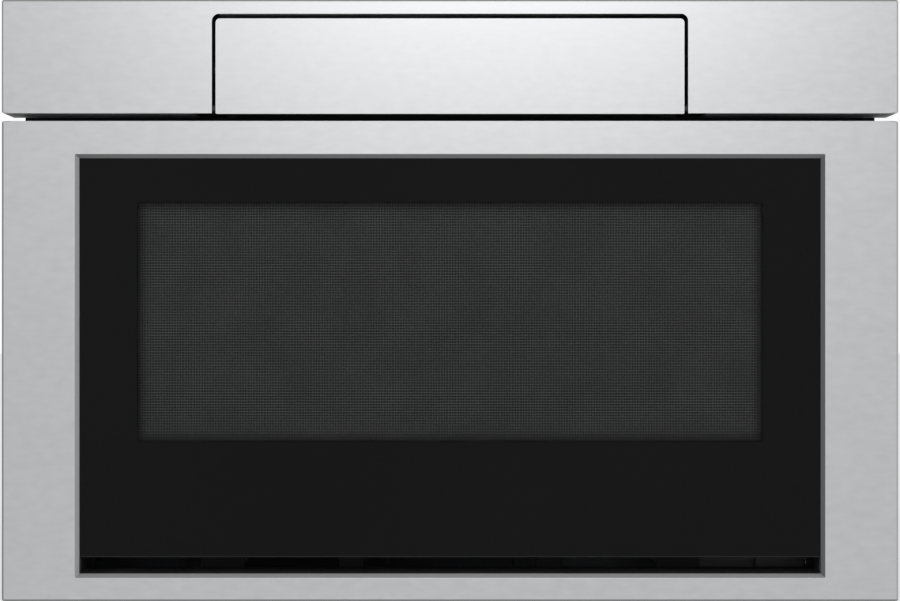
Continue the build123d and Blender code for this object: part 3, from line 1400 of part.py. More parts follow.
# ---- Cooling
def fan_shroud():
    """Shroud plate across the rear compartment, with a ring round the fan and folded edges."""
    x1 = fan_x - fan_hub_length / 2
    y0 = cavity_back_y + panel_fit
    y1 = rear_y - panel_fit
    half = (y1 - y0) / 2
    plate = block(x1 - vent_sheet, x1, y0, y1, fan_z - half, fan_z + half)
    ring_radius = fan_radius + 2 * over
    ring = rod_x(ring_radius + vent_sheet, x1, x1 + fan_ring_depth, rear_centre_y, fan_z)
    mouth_x1 = x1 + fan_ring_depth + over
    shroud = plate + ring - rod_x(ring_radius, x1 - 2 * vent_sheet, mouth_x1, rear_centre_y, fan_z)
    for edge_y in (y0, y1 - vent_sheet):
        shroud = shroud + block(x1, x1 + lip_width, edge_y, edge_y + vent_sheet, fan_z - half, fan_z + half)
    return shroud


def fan_wheel():
    """Axial fan wheel: twisted blades lofted from the hub to the tip, on a shaft."""
    root_chord = 2 * fan_hub_radius
    tip_chord = 3 * fan_hub_radius
    sections = []
    for radius, chord, pitch in (
        (fan_hub_radius - 2 * over, root_chord, fan_root_pitch),
        (fan_radius + over, tip_chord, fan_tip_pitch),
    ):
        angle = math.radians(pitch)
        plane = Plane(origin=(0, 0, radius), x_dir=(math.cos(angle), math.sin(angle), 0), z_dir=(0, 0, 1))
        sections.append(plane * Rectangle(chord, sheet))
    blade = loft(sections) & rod_x(fan_radius, -fan_ring_depth, fan_ring_depth, 0, 0)
    wheel = rod_x(fan_hub_radius, -fan_hub_length / 2, fan_hub_length / 2, 0, 0)
    wheel = chamfer(wheel.faces().sort_by(Axis.X)[-1].edges(), fan_hub_radius / 4)
    for index in range(fan_blades):
        wheel = wheel + Rot(index * 360 / fan_blades, 0, 0) * blade
    shaft_length = fan_hub_length / 2 + fan_motor_length
    wheel = wheel + rod_x(fan_shaft_radius, -shaft_length, 0, 0, 0)
    return Pos(fan_x + fan_ring_depth / 2, rear_centre_y, fan_z) * wheel


def fan_motor():
    """Fan motor behind the shroud, held by three arms."""
    plate_x = fan_x - fan_hub_length / 2 - vent_sheet
    x1 = plate_x
    x0 = x1 - fan_motor_length
    motor = rod_x(fan_motor_radius, x0, x1, rear_centre_y, fan_z)
    motor = chamfer(motor.faces().sort_by(Axis.X)[0].edges(), fan_motor_radius / 5)
    arm_reach = fan_radius + 5 * over
    for index in range(3):
        arm = block(-vent_sheet * 2, 0, -vent_sheet * 2, vent_sheet * 2, 0, arm_reach)
        motor = motor + Pos(plate_x, rear_centre_y, fan_z) * Rot(45 + index * 120, 0, 0) * arm
    bore = rod_x(fan_shaft_radius + shaft_play, x0 + 2 * over, x1 + over, rear_centre_y, fan_z)
    return motor - bore


# ---- High voltage and control electronics
def transformer_core():
    """Laminated core with two windows, on fixing feet."""
    z0 = wall_bottom_z
    z1 = z0 + core_height
    leg = core_width / 6
    y0 = rear_centre_y - core_stack / 2
    y1 = rear_centre_y + core_stack / 2
    half = core_width / 2
    core = block(transformer_x - half, transformer_x + half, y0, y1, z0, z1)
    for side in (-1, 1):
        window_x = transformer_x + side * core_width / 4
        window = block(window_x - leg / 2, window_x + leg / 2, y0 - over, y1 + over, z0 + leg, z1 - leg)
        core = core - window
    foot_half = half + lip_width
    foot = block(transformer_x - foot_half, transformer_x + foot_half, y0, y1, z0, z0 + 2 * sheet)
    return core + foot


def transformer_coils():
    """Primary and secondary windings round the core's middle leg."""
    leg = core_width / 6
    inner_x = leg + panel_fit
    inner_y = core_stack / 2 + panel_fit
    outer_x = leg + leg - 2 * panel_fit
    outer_y = inner_y + coil_depth
    z0 = wall_bottom_z + leg + panel_fit
    z1 = wall_bottom_z + core_height - leg - panel_fit
    split = z0 + (z1 - z0) * 2 / 5
    centre = Pos(transformer_x, rear_centre_y, 0)
    coils = Part()
    for low, high in ((z0, split - over), (split, z1)):
        ring = centre * slab(outer_x, -outer_y, outer_y, low, high)
        ring = fillet(ring.edges().filter_by(Axis.Z), leg - 3 * panel_fit)
        hole = centre * slab(inner_x, -inner_y, inner_y, low - over, high + over)
        coils = coils + (ring - hole)
    return coils


def hv_capacitor():
    """Oval high voltage capacitor standing in its strap, with two terminals."""
    z0 = wall_bottom_z
    place = Plane.XY.offset(z0) * Pos(capacitor_x, rear_centre_y, 0)
    can = extrude(place * SlotOverall(capacitor_width, capacitor_depth), amount=capacitor_height)
    strap_outline = SlotOverall(capacitor_width + 2 * sheet, capacitor_depth + 2 * sheet)
    strap_place = Plane.XY.offset(z0 + capacitor_height / 2) * Pos(capacitor_x, rear_centre_y, 0)
    can = can + extrude(strap_place * strap_outline, amount=lip_width)
    for side in (-1, 1):
        x = capacitor_x + side * capacitor_width / 4
        z1 = z0 + capacitor_height
        can = can + block(x - sheet / 2, x + sheet / 2, rear_centre_y - 3 * sheet, rear_centre_y + 3 * sheet,
                          z1, z1 + lip_width)
    return can


def post(x, y, z0, z1):
    """Square standoff under a board."""
    half = 2 * sheet
    return block(x - half, x + half, y - half, y + half, z0, z1)


def noise_filter():
    """Mains filter board on standoffs, with its choke, capacitor and fuse holder."""
    half_x = filter_width / 2
    half_y = filter_length / 2
    z0 = wall_bottom_z + standoff_height
    board = block(filter_x - half_x, filter_x + half_x, rear_centre_y - half_y, rear_centre_y + half_y,
                  z0, z0 + board_thickness)
    top = z0 + board_thickness
    for side_x in (-1, 1):
        for side_y in (-1, 1):
            post_y = rear_centre_y + side_y * (half_y - lip_width / 2)
            board = board + post(filter_x + side_x * (half_x - lip_width / 2), post_y, wall_bottom_z, z0)
    board = board + rod_z(half_x / 2, top, top + half_x, filter_x, rear_centre_y - half_y / 2)
    capacitor_y1 = rear_centre_y + half_x / 2
    board = board + block(filter_x - half_x / 2, filter_x + half_x / 2, rear_centre_y, capacitor_y1,
                          top, top + half_x * 2 / 3)
    return board + block(filter_x - half_x * 2 / 3, filter_x + half_x * 2 / 3, rear_centre_y + half_y * 2 / 3,
                         rear_centre_y + half_y - 2 * sheet, top, top + lip_width)


def power_board():
    """Power board on the ceiling: relays, a transformer and a connector row on a standing-off board."""
    z0 = cavity_z1 + sheet + standoff_height
    half_x = (board_x1 - board_x0) / 2
    half_y = board_length / 2
    top = z0 + board_thickness
    board = block(board_x - half_x, board_x + half_x, board_y - half_y, board_y + half_y, z0, top)
    for side_x in (-1, 1):
        for side_y in (-1, 1):
            post_y = board_y + side_y * (half_y - lip_width)
            board = board + post(board_x + side_x * (half_x - lip_width), post_y, cavity_z1 + sheet, z0)
    relay_pitch = board_length / 5
    for index in range(4):
        relay_y = board_y - half_y + relay_pitch * (index + 1 / 2)
        relay_y1 = relay_y + relay_pitch * 2 / 3
        board = board + block(board_x + lip_width, board_x + 3 * lip_width, relay_y, relay_y1,
                              top, top + 2 * lip_width)
    inner_x0 = board_x - half_x + lip_width
    board = board + block(inner_x0, board_x - lip_width / 2, board_y, board_y + 4 * lip_width,
                          top, top + 3 * lip_width)
    return board + block(inner_x0, board_x + half_x - lip_width,
                         board_y + half_y - 2 * lip_width, board_y + half_y - lip_width, top, top + lip_width)


def oven_lamp():
    """Lamp housing over the ceiling's lamp holes: flanged box with its holder."""
    z0 = cavity_z1 + sheet
    half = lamp_size / 2
    flange = block(lamp_x - half, lamp_x + half, lamp_y - half, lamp_y + half, z0, z0 + sheet)
    body_half = half * 3 / 4
    body_z1 = z0 + lamp_size
    body = block(lamp_x - body_half, lamp_x + body_half, lamp_y - body_half, lamp_y + body_half, z0, body_z1)
    body = chamfer(body.faces().sort_by(Axis.Z)[-1].edges(), lip_width / 2)
    holder = rod_x(lamp_size / 4, lamp_x + body_half, lamp_x + lamp_size, lamp_y, z0 + half)
    return flange + body + holder


NODES = {
    "base_pan": base_pan,
    "side_panel_right": side_panel,
    "side_panel_left": lambda: other_side(side_panel()),
    "top_cover": top_cover,
    "rear_panel": rear_panel,
    "front_plate": front_plate,
    "cavity_wrapper": cavity_wrapper,
    "cavity_ceiling": cavity_ceiling,
    "cavity_rear": cavity_rear,
    "waveguide": waveguide,
    "stirrer_cover": stirrer_cover,
    "stirrer_motor": stirrer_motor,
    "magnetron": magnetron,
    "fan_shroud": fan_shroud,
    "fan_motor": fan_motor,
    "transformer_core": transformer_core,
    "transformer_coils": transformer_coils,
    "hv_capacitor": hv_capacitor,
    "noise_filter": noise_filter,
    "power_board": power_board,
    "oven_lamp": oven_lamp,
    "drawer_motor": drawer_motor,
    "slide_brackets": slide_brackets,
    "slide_outer_right": slide_outer,
    "slide_outer_left": lambda: other_side(slide_outer()),
    "interlock_brackets": interlock_brackets,
    "interlock_switches": interlock_switches,
    "fascia_panel": fascia_panel,
    "control_housing": control_housing,
    "flap_motor": flap_motor,
    "cord_gland": cord_gland,
    "chassis_screws": chassis_screws,
    "door_frame": door_frame,
    "door_glass": door_glass,
    "choke_frame": choke_frame,
    "inner_window": inner_window,
    "door_back_panel": door_back_panel,
    "choke_cover": choke_cover,
    "vent_channel": vent_channel,
    "drawer_tub": drawer_tub,
    "ceramic_floor": ceramic_floor,
    "tub_glides": tub_glides,
    "drawer_brackets": drawer_brackets,
    "slide_inner_right": slide_inner,
    "slide_inner_left": lambda: other_side(slide_inner()),
    "drive_rack": drive_rack,
    "slide_middle_right": slide_middle,
    "slide_middle_left": lambda: other_side(slide_middle()),
    "ball_cages_outer": ball_cages_outer,
    "ball_cages_inner": ball_cages_inner,
    "drive_pinion": drive_pinion,
    "stirrer_blade": stirrer_blade,
    "fan_wheel": fan_wheel,
    "flap_panel": flap_panel,
    "flap_housing": flap_housing,
    "control_glass": control_glass,
    "control_board": control_board,
    "flap_pinion": flap_pinion,
    "latch_hook_right": latch_hook,
    "latch_hook_left": lambda: other_side(latch_hook()),
}

os.makedirs("parts", exist_ok=True)
for name, build in NODES.items():
    export_step(build(), f"parts/{name}.step")
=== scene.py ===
"""Built-in microwave drawer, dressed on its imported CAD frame. Metres, the front faces -Y."""

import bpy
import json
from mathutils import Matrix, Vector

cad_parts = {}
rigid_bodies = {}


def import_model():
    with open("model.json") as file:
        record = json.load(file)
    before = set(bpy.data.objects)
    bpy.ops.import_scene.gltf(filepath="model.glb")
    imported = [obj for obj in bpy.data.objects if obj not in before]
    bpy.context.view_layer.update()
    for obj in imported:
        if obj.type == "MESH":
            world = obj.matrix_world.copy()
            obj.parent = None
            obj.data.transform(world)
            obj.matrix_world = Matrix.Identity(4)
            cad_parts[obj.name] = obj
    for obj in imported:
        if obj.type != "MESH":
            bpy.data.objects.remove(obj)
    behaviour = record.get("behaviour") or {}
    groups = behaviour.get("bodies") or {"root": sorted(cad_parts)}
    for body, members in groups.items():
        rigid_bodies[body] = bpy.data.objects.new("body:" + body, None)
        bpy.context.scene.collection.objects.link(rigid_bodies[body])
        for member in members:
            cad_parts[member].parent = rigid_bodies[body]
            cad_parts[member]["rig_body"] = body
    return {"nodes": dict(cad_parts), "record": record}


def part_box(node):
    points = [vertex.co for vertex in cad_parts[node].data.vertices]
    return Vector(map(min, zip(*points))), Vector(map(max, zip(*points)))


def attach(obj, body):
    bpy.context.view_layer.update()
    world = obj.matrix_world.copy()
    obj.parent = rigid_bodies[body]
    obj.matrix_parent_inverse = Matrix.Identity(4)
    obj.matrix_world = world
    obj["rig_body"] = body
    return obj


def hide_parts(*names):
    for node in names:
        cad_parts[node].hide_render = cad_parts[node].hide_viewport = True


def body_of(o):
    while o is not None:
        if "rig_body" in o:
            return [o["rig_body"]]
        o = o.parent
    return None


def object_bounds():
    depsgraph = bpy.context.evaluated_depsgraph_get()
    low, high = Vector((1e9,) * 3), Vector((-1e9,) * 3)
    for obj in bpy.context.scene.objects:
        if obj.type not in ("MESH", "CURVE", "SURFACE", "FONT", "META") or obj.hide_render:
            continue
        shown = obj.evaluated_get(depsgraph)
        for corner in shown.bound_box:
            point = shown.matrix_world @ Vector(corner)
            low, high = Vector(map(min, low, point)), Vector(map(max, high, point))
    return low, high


bl_info = {
    "name": "Microwave drawer",
    "version": (1, 0, 0),
    "blender": (4, 5, 0),
    "location": "View3D > Sidebar > Drawer",
    "description": "Models and finishes the front, the door, the control flap and the works",
    "category": "Add Mesh",
}

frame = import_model()

import json
import math

import bmesh
import bpy
from bpy.props import FloatProperty, FloatVectorProperty, PointerProperty
from bpy.types import NodeSocket, Operator, Panel, PropertyGroup
from mathutils import Matrix, Vector

CAD_LOW, CAD_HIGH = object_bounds()
NEAR = 0.00001  # Places that are closer than this count as one
BEYOND = 0.01  # Reach of a cutter past what it cuts
SHARP = math.radians(35.0)  # Least turn at an edge that is rounded
GREY = (0.5, 0.5, 0.5, 1.0)
WHITE = (1.0, 1.0, 1.0, 1.0)


# ---- Sizes and colours that a user would change
def length(name, description, default):
    """A length in metres."""
    return FloatProperty(name=name, description=description, default=default, unit="LENGTH", precision=4)


def colour(name, description, red, green, blue):
    """An opaque colour."""
    tone = (red, green, blue, 1.0)
    return FloatVectorProperty(
        name=name, description=description, default=tone, size=4, subtype="COLOR", min=0.0, max=1.0
    )


class DrawerSizes(PropertyGroup):
    """Sizes of the visible front, and the camera's place"""

    sheet: length("Sheet", "Thickness of the stainless sheet", 0.0012)
    corner_radius: length("Corner radius", "Radius of the front's outer corners", 0.0015)
    edge_radius: length("Edge radius", "Rounding of the sheet's cut edges", 0.00025)
    fold_width: length("Fold width", "Width of the front's outer folds", 0.0011)
    bevel_width: length("Bevel width", "Width of the bevel round the door's opening", 0.0028)
    bevel_depth: length("Bevel depth", "Depth of the bevel round the door's opening", 0.0026)
    glass_overlap: length("Glass overlap", "Glass that lies behind the bevel", 0.005)
    bottom_rail: length("Bottom rail", "Height of the rail under the opening", 0.0158)
    window_width: length("Window width", "Width of the perforated window", 0.4242)
    window_height: length("Window height", "Height of the perforated window", 0.1626)
    window_drop: length("Window drop", "Glass above the window, below the bevel", 0.0293)
    mesh_pitch: length("Mesh pitch", "Distance between the holes of the microwave screen", 0.00185)
    mesh_web: length("Mesh web", "Metal left between two holes of the screen", 0.00065)
    print_edge: length("Print edge", "Blurred edge of the glass's print round the window", 0.0006)
    print_fade: length("Print fade", "Border of the window that is printed more densely", 0.007)
    flap_gap: length("Flap gap", "Gap on each side of the control flap", 0.0025)
    flap_top_gap: length("Flap top gap", "Gap above the control flap", 0.0032)
    notch_radius: length("Notch radius", "Radius of the notch's upper corners", 0.0048)
    flap_top_radius: length("Flap top radius", "Radius of the flap's upper corners", 0.0028)
    flap_bottom_radius: length("Flap bottom radius", "Radius of the flap's lower corners", 0.0008)
    glass_edge: length("Glass edge", "Ground edge of the glass panes", 0.0009)
    key_width: length("Key width", "Width of a touch key's outline", 0.0175)
    key_height: length("Key height", "Height of a touch key's outline", 0.0145)
    camera_distance: length("Camera distance", "Camera to the front's face", 1.333)
    camera_height: length("Camera height", "Camera above the shelf", 0.2044)
    view_width: length("View width", "Width of the view at the front's face", 0.6084)


class DrawerFinishes(PropertyGroup):
    """Colours of the pieces, and the light on them"""

    stainless: colour("Stainless", "Brushed stainless front", 0.474, 0.478, 0.486)
    glass_black: colour("Black glass", "Printed border of the door glass", 0.0015, 0.0015, 0.0017)
    plate_black: colour("Black plate", "Painted front plate", 0.004, 0.004, 0.004)
    screen_metal: colour("Screen", "Perforated microwave screen", 0.275, 0.277, 0.283)
    enamel_grey: colour("Enamel", "Oven enamel", 0.55, 0.56, 0.57)
    galvanised_grey: colour("Galvanised", "Galvanised chassis sheet", 0.56, 0.58, 0.6)
    plastic_black: colour("Black plastic", "Moulded black plastic", 0.018, 0.018, 0.019)
    print_white: colour("Print", "Symbols printed on the control glass", 0.6, 0.61, 0.62)
    display_glow: colour("Display", "Lit segments of the display", 0.55, 0.85, 0.95)
    floor_white: colour("Floor", "Pale studio floor", 0.8, 0.8, 0.8)
    white_share: FloatProperty(name="World light", description="World on matt surfaces", default=0.78)
    lamp_power: FloatProperty(name="Lamp", description="Overhead lamp's power", default=5.6, unit="POWER")


# ---- Modelling, as by hand
def clear_selection():
    """Leaves edit mode, with nothing selected."""
    if bpy.context.object and bpy.context.object.mode != "OBJECT":
        bpy.ops.object.mode_set(mode="OBJECT")
    bpy.ops.object.select_all(action="DESELECT")


def take(piece):
    """Makes a piece the only selected one."""
    clear_selection()
    piece.select_set(True)
    bpy.context.view_layer.objects.active = piece


def settle(piece):
    """Puts the piece's place, turn and size in its mesh."""
    take(piece)
    bpy.ops.object.transform_apply(location=True, rotation=True, scale=True)


def start_block(name, low, high):
    """A box between two corners, to be shaped further."""
    clear_selection()
    low = Vector(low)
    high = Vector(high)
    bpy.ops.mesh.primitive_cube_add(size=1.0, location=(low + high) / 2)
    piece = bpy.context.object
    piece.name = name
    piece.scale = high - low
    settle(piece)
    return piece


def start_rod(name, radius, depth, place, turn=(0.0, 0.0, 0.0)):
    """A round bar, along Z before its turn, to be shaped further."""
    clear_selection()
    bpy.ops.mesh.primitive_cylinder_add(radius=radius, depth=depth, location=place, rotation=turn)
    piece = bpy.context.object
    piece.name = name
    settle(piece)
    return piece


def edit(piece):
    """Opens the piece in edit mode."""
    take(piece)
    bpy.ops.object.mode_set(mode="EDIT")


def close_edit():
    """Leaves edit mode."""
    bpy.ops.object.mode_set(mode="OBJECT")


def select_all():
    """Selects all of the open piece."""
    bpy.ops.mesh.select_all(action="SELECT")


def middle(part):
    """Middle of a point, an edge or a face."""
    if isinstance(part, bmesh.types.BMVert):
        return part.co
    points = [point.co for point in part.verts]
    return sum(points, Vector()) / len(points)


def pick(piece, kind, test):
    """Selects the points, edges or faces of the open piece that pass the test."""
    modes = {"verts": "VERT", "edges": "EDGE", "faces": "FACE"}
    bpy.ops.mesh.select_mode(type=modes[kind])
    bpy.ops.mesh.select_all(action="DESELECT")
    shape = bmesh.from_edit_mesh(piece.data)
    for part in getattr(shape, kind):
        if test(part):
            part.select_set(True)
    bmesh.update_edit_mesh(piece.data)


def bevel(piece, width, segments, test):
    """Rounds the open piece's edges that pass the test."""
    pick(piece, "edges", test)
    bpy.ops.mesh.bevel(offset=width, segments=segments, affect="EDGES")


def delete_faces(piece, test):
    """Deletes the open piece's faces that pass the test."""
    pick(piece, "faces", test)
    bpy.ops.mesh.delete(type="FACE")


def hollow_faces(width, **settings):
    """Leaves only the borders of the open piece's faces, and closes the piece."""
    select_all()
    bpy.ops.mesh.inset(thickness=width, **settings)
    bpy.ops.mesh.delete(type="FACE")
    close_edit()


def along(edge, axis):
    """True where an edge runs along an axis, 0 to 2."""
    run = edge.verts[1].co - edge.verts[0].co
    return abs(run[axis]) > 0.99 * run.length


def slice_at(axis, places):
    """Cuts the open piece across an axis at each place."""
    normal = Vector.Fill(3, 0.0)
    normal[axis] = 1.0
    for place in places:
        select_all()
        bpy.ops.mesh.bisect(plane_co=normal * place, plane_no=normal)


def modify(piece, kind, **settings):
    """Adds a modifier and applies it."""
    take(piece)
    modifier = piece.modifiers.new(kind.title(), kind)
    for name, value in settings.items():
        setattr(modifier, name, value)
    bpy.ops.object.modifier_apply(modifier=modifier.name)


def cut(piece, cutter):
    """Takes the cutter's space out of the piece."""
    modify(piece, "BOOLEAN", operation="DIFFERENCE", solver="EXACT", object=cutter)
    bpy.data.objects.remove(cutter)


def soften(piece, width, segments=2):
    """Rounds the piece's sharp edges."""
    modify(piece, "BEVEL", width=width, segments=segments, limit_method="ANGLE", angle_limit=SHARP)


def smooth(piece):
    """Shades the piece smooth, apart from its sharp edges."""
    take(piece)
    bpy.ops.object.shade_smooth_by_angle(angle=SHARP)
    modify(piece, "WEIGHTED_NORMAL", mode="FACE_AREA", weight=100, keep_sharp=True)


def join(parts):
    """Joins the parts into the first, as one piece."""
    take(parts[0])
    for part in parts:
        part.select_set(True)
    bpy.ops.object.join()


def hang(piece, body, slot, *nodes):
    """The piece rides on a body and stands for CAD nodes; slot is not used."""
    settle(piece)
    smooth(piece)
    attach(piece, body)
    if nodes:
        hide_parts(*nodes)
    clear_selection()


def paint(piece, *materials):
    """Gives the piece its materials, in the order of its slots."""
    piece.data.materials.clear()
    paint_more(piece, *materials)


def paint_more(piece, *materials):
    """Adds materials to those that the piece has."""
    for material in materials:
        piece.data.materials.append(material)


def paint_where(piece, index, test):
    """Gives the faces that pass the test another of the piece's materials."""
    for face in piece.data.polygons:
        if test(face):
            face.material_index = index


# ---- Shader nodes
def add(tree, kind, inputs=None, **settings):
    """Adds a shader node. Each input is a constant, or another node's output."""
    node = tree.nodes.new("ShaderNode" + kind)
    node.location = (220 * (len(tree.nodes) % 8), -260 * (len(tree.nodes) // 8))
    for name, value in settings.items():
        setattr(node, name, value)
    for key, value in (inputs or {}).items():
        if isinstance(value, NodeSocket):
            tree.links.new(value, node.inputs[key])
        else:
            node.inputs[key].default_value = value
    return node


def maths(tree, operation, first, second=0.0, clamp=False):
    """Output of a Math node."""
    return add(tree, "Math", {0: first, 1: second}, operation=operation, use_clamp=clamp).outputs[0]


def blend_colours(tree, share, first, second):
    """Output of a Mix node for two colours."""
    return add(tree, "Mix", {0: share, 6: first, 7: second}, data_type="RGBA").outputs[2]


def wire(tree, node, **outputs):
    """Feeds outputs to the node's inputs of those names."""
    for label, output in outputs.items():
        tree.links.new(output, node.inputs[label.replace("_", " ")])


def noise(tree, place, scale, detail, roughness=0.5):
    """Noise at a place, drawn out where its scale is given for each axis."""
    if isinstance(scale, tuple):
        place = add(tree, "Mapping", {"Vector": place, "Scale": scale}).outputs[0]
        scale = 1.0
    inputs = {"Vector": place, "Scale": scale, "Detail": detail, "Roughness": roughness}
    return add(tree, "TexNoise", inputs).outputs[0]


def weigh(tree, *terms):
    """Sum of values, each times its share."""
    total, *parts = [maths(tree, "MULTIPLY", value, share) for value, share in terms]
    for part in parts:
        total = maths(tree, "ADD", total, part)
    return total


def vary(tree, tone, shift, contrast):
    """The tone, made lighter and darker by a shift round zero."""
    gain = maths(tree, "ADD", maths(tree, "MULTIPLY", shift, contrast), 1.0)
    return add(tree, "VectorMath", {0: tone, "Scale": gain}, operation="SCALE").outputs[0]


def new_group(name, inputs, outputs):
    """A node group with its sockets, and the object's own coordinates in it."""
    tree = bpy.data.node_groups.new(name, "ShaderNodeTree")
    for label, value in inputs.items():
        kind = "NodeSocketFloat" if isinstance(value, float) else "NodeSocketColor"
        tree.interface.new_socket(label, in_out="INPUT", socket_type=kind).default_value = value
    for label in outputs:
        kind = "NodeSocketColor" if label == "Color" else "NodeSocketFloat"
        tree.interface.new_socket(label, in_out="OUTPUT", socket_type=kind)
    start = tree.nodes.new("NodeGroupInput")
    end = tree.nodes.new("NodeGroupOutput")
    return tree, start.outputs, end, add(tree, "TexCoord").outputs["Object"]


def brushed_grain(name):
    """Lines, hairs, clouds and short dashes along X: tone, roughness and height."""
    tree, given, end, place = new_group(
        name, {"Tone": GREY, "Contrast": 0.1, "Roughness": 0.36}, ("Color", "Roughness", "Height")
    )
    lines = noise(tree, place, (28.0, 900.0, 900.0), 4.0, 0.65)
    hairs = noise(tree, place, (120.0, 2600.0, 2600.0), 2.0)
    clouds = noise(tree, place, (9.0, 38.0, 38.0), 3.0)
    dashes = noise(tree, place, (100.0, 210.0, 210.0), 1.0)
    mixed = weigh(tree, (lines, 0.2), (hairs, 0.12), (clouds, 0.16), (dashes, 0.52))
    centred = maths(tree, "SUBTRACT", mixed, 0.5)
    toned = vary(tree, given["Tone"], centred, given["Contrast"])
    rough = maths(tree, "ADD", given["Roughness"], maths(tree, "MULTIPLY", centred, 0.16))
    wire(tree, end, Color=toned, Roughness=rough, Height=mixed)
    return tree


def fine_speckle(name):
    """Two tones in fine grain over soft patches: colour, mask and height."""
    tree, given, end, place = new_group(
        name, {"Tone": GREY, "Second tone": GREY, "Grain": 900.0, "Patch": 25.0}, ("Color", "Mask", "Height")
    )
    grain = noise(tree, place, given["Grain"], 3.0, 0.6)
    patch = noise(tree, place, given["Patch"], 4.0)
    share = {"Value": weigh(tree, (grain, 0.55), (patch, 0.45)), "From Min": 0.38, "From Max": 0.62}
    mask = add(tree, "MapRange", share, interpolation_type="SMOOTHSTEP").outputs[0]
    tones = blend_colours(tree, mask, given["Tone"], given["Second tone"])
    wire(tree, end, Color=tones, Mask=mask, Height=grain)
    return tree


def zinc_spangle(name):
    """Crystals of a zinc coat: colour, roughness and height."""
    tree, given, end, place = new_group(
        name, {"Tone": GREY, "Crystals": 110.0, "Contrast": 0.35}, ("Color", "Roughness", "Height")
    )
    warp = add(tree, "TexNoise", {"Vector": place, "Scale": 60.0, "Detail": 2.0}).outputs["Color"]
    bent = blend_colours(tree, 0.008, place, warp)
    cells = add(tree, "TexVoronoi", {"Vector": bent, "Scale": given["Crystals"], "Randomness": 1.0})
    value = add(tree, "SeparateColor", {0: cells.outputs["Color"]}).outputs[0]
    toned = vary(tree, given["Tone"], maths(tree, "SUBTRACT", value, 0.5), given["Contrast"])
    rough = maths(tree, "ADD", maths(tree, "MULTIPLY", value, 0.16), 0.34)
    wire(tree, end, Color=toned, Roughness=rough, Height=cells.outputs["Distance"])
    return tree


def layered_stripes(name):
    """Fine stripes across one direction, as of laminations and windings: colour and height."""
    tones = {"Tone": GREY, "Second tone": GREY}
    across = {"Across X": 0.0, "Across Y": 0.0, "Across Z": 1.0}
    tree, given, end, place = new_group(name, {**tones, **across, "Pitch": 0.001}, ("Color", "Height"))
    direction = add(tree, "CombineXYZ", {axis: given[label] for axis, label in enumerate(across)}).outputs[0]
    run = add(tree, "VectorMath", {0: place, 1: direction}, operation="DOT_PRODUCT").outputs["Value"]
    phase = maths(tree, "DIVIDE", run, given["Pitch"])
    wave = maths(tree, "SINE", maths(tree, "MULTIPLY", phase, math.tau))
    wave = maths(tree, "ADD", maths(tree, "MULTIPLY", wave, 0.5), 0.5)
    wobble = maths(tree, "ADD", noise(tree, place, 140.0, 3.0), 0.5)
    mask = maths(tree, "MULTIPLY", wave, wobble, clamp=True)
    wire(tree, end, Color=blend_colours(tree, mask, given["Tone"], given["Second tone"]), Height=wave)
    return tree


def new_material(name, **sockets):
    """A material with a Principled shader, whose plain values stand on its own sockets."""
    material = bpy.data.materials.new(name)
    material.use_nodes = True
    tree = material.node_tree
    tree.nodes.clear()
    shader = add(tree, "BsdfPrincipled")
    for label, value in sockets.items():
        shader.inputs[label.replace("_", " ")].default_value = value
    add(tree, "OutputMaterial", {"Surface": shader.outputs[0]})
    return material, tree, shader


def place_group(tree, builder, **values):
    """A shared effect, built once and placed in a material with its own values."""
    name = builder.__name__.replace("_", " ").capitalize()
    effect = bpy.data.node_groups.get(name) or builder(name)
    inputs = {label.replace("_", " "): value for label, value in values.items()}
    return add(tree, "Group", inputs, node_tree=effect)


def surface(name, sockets, builder, relief, depth, **values):
    """A material whose colour and relief come from a shared effect."""
    material, tree, shader = new_material(name, **sockets)
    effect = place_group(tree, builder, **values)
    height = {"Height": effect.outputs["Height"], "Strength": relief, "Distance": depth}
    normal = add(tree, "Bump", height).outputs[0]
    wire(tree, shader, Base_Color=effect.outputs["Color"], Normal=normal)
    if "Roughness" in effect.outputs:
        wire(tree, shader, Roughness=effect.outputs["Roughness"])
    return material, tree, shader, effect


def built_once(builder):
    """Has a material's builder give back the named material where it is there already."""

    def find(name, *values, **settings):
        return bpy.data.materials.get(name) or builder(name, *values, **settings)

    return find


def darker(tone, share):
    """The tone, at a share of its lightness."""
    return (tone[0] * share, tone[1] * share, tone[2] * share, 1.0)


@built_once
def brushed_metal(name, tone, contrast=0.26, roughness=0.366, spread=0.25, rim=1.0):
    """Metal brushed along X, which spreads a highlight up and down; rim is its tint at a grazing view."""
    sockets = {"Metallic": 1.0, "Anisotropic": spread, "Anisotropic_Rotation": 0.25}
    sockets["Specular_Tint"] = (rim, rim, rim, 1.0)
    values = {"Tone": tone, "Contrast": contrast, "Roughness": roughness}
    return surface(name, sockets, brushed_grain, 0.06, 0.00005, **values)[0]


@built_once
def speckled(name, tone, second, grain=900.0, patch=25.0, relief=0.15, **sockets):
    """A painted, moulded or fired surface with fine grain; second is a tone, or a share of the first."""
    if isinstance(second, float):
        second = darker(tone, second)
    values = {"Tone": tone, "Second_tone": second, "Grain": grain, "Patch": patch}
    material, tree, shader, speckle = surface(name, sockets, fine_speckle, relief, 0.0001, **values)
    spread = maths(tree, "MULTIPLY", speckle.outputs["Mask"], 0.08)
    least = shader.inputs["Roughness"].default_value - 0.04
    wire(tree, shader, Roughness=maths(tree, "ADD", spread, least))
    return material


@built_once
def galvanised(name, tone):
    """Zinc-coated sheet with its spangle."""
    values = {"Tone": tone, "Crystals": 190.0, "Contrast": 0.16}
    return surface(name, {"Metallic": 0.9}, zinc_spangle, 0.04, 0.0002, **values)[0]


@built_once
def striped(name, tone, second, across, pitch, **sockets):
    """Laminations or windings, striped across an axis."""
    values = {"Tone": tone, "Second_tone": second, "Pitch": pitch}
    for axis in "XYZ":
        values[f"Across_{axis}"] = float(axis == across)
    return surface(name, sockets, layered_stripes, 0.3, pitch / 3, **values)[0]


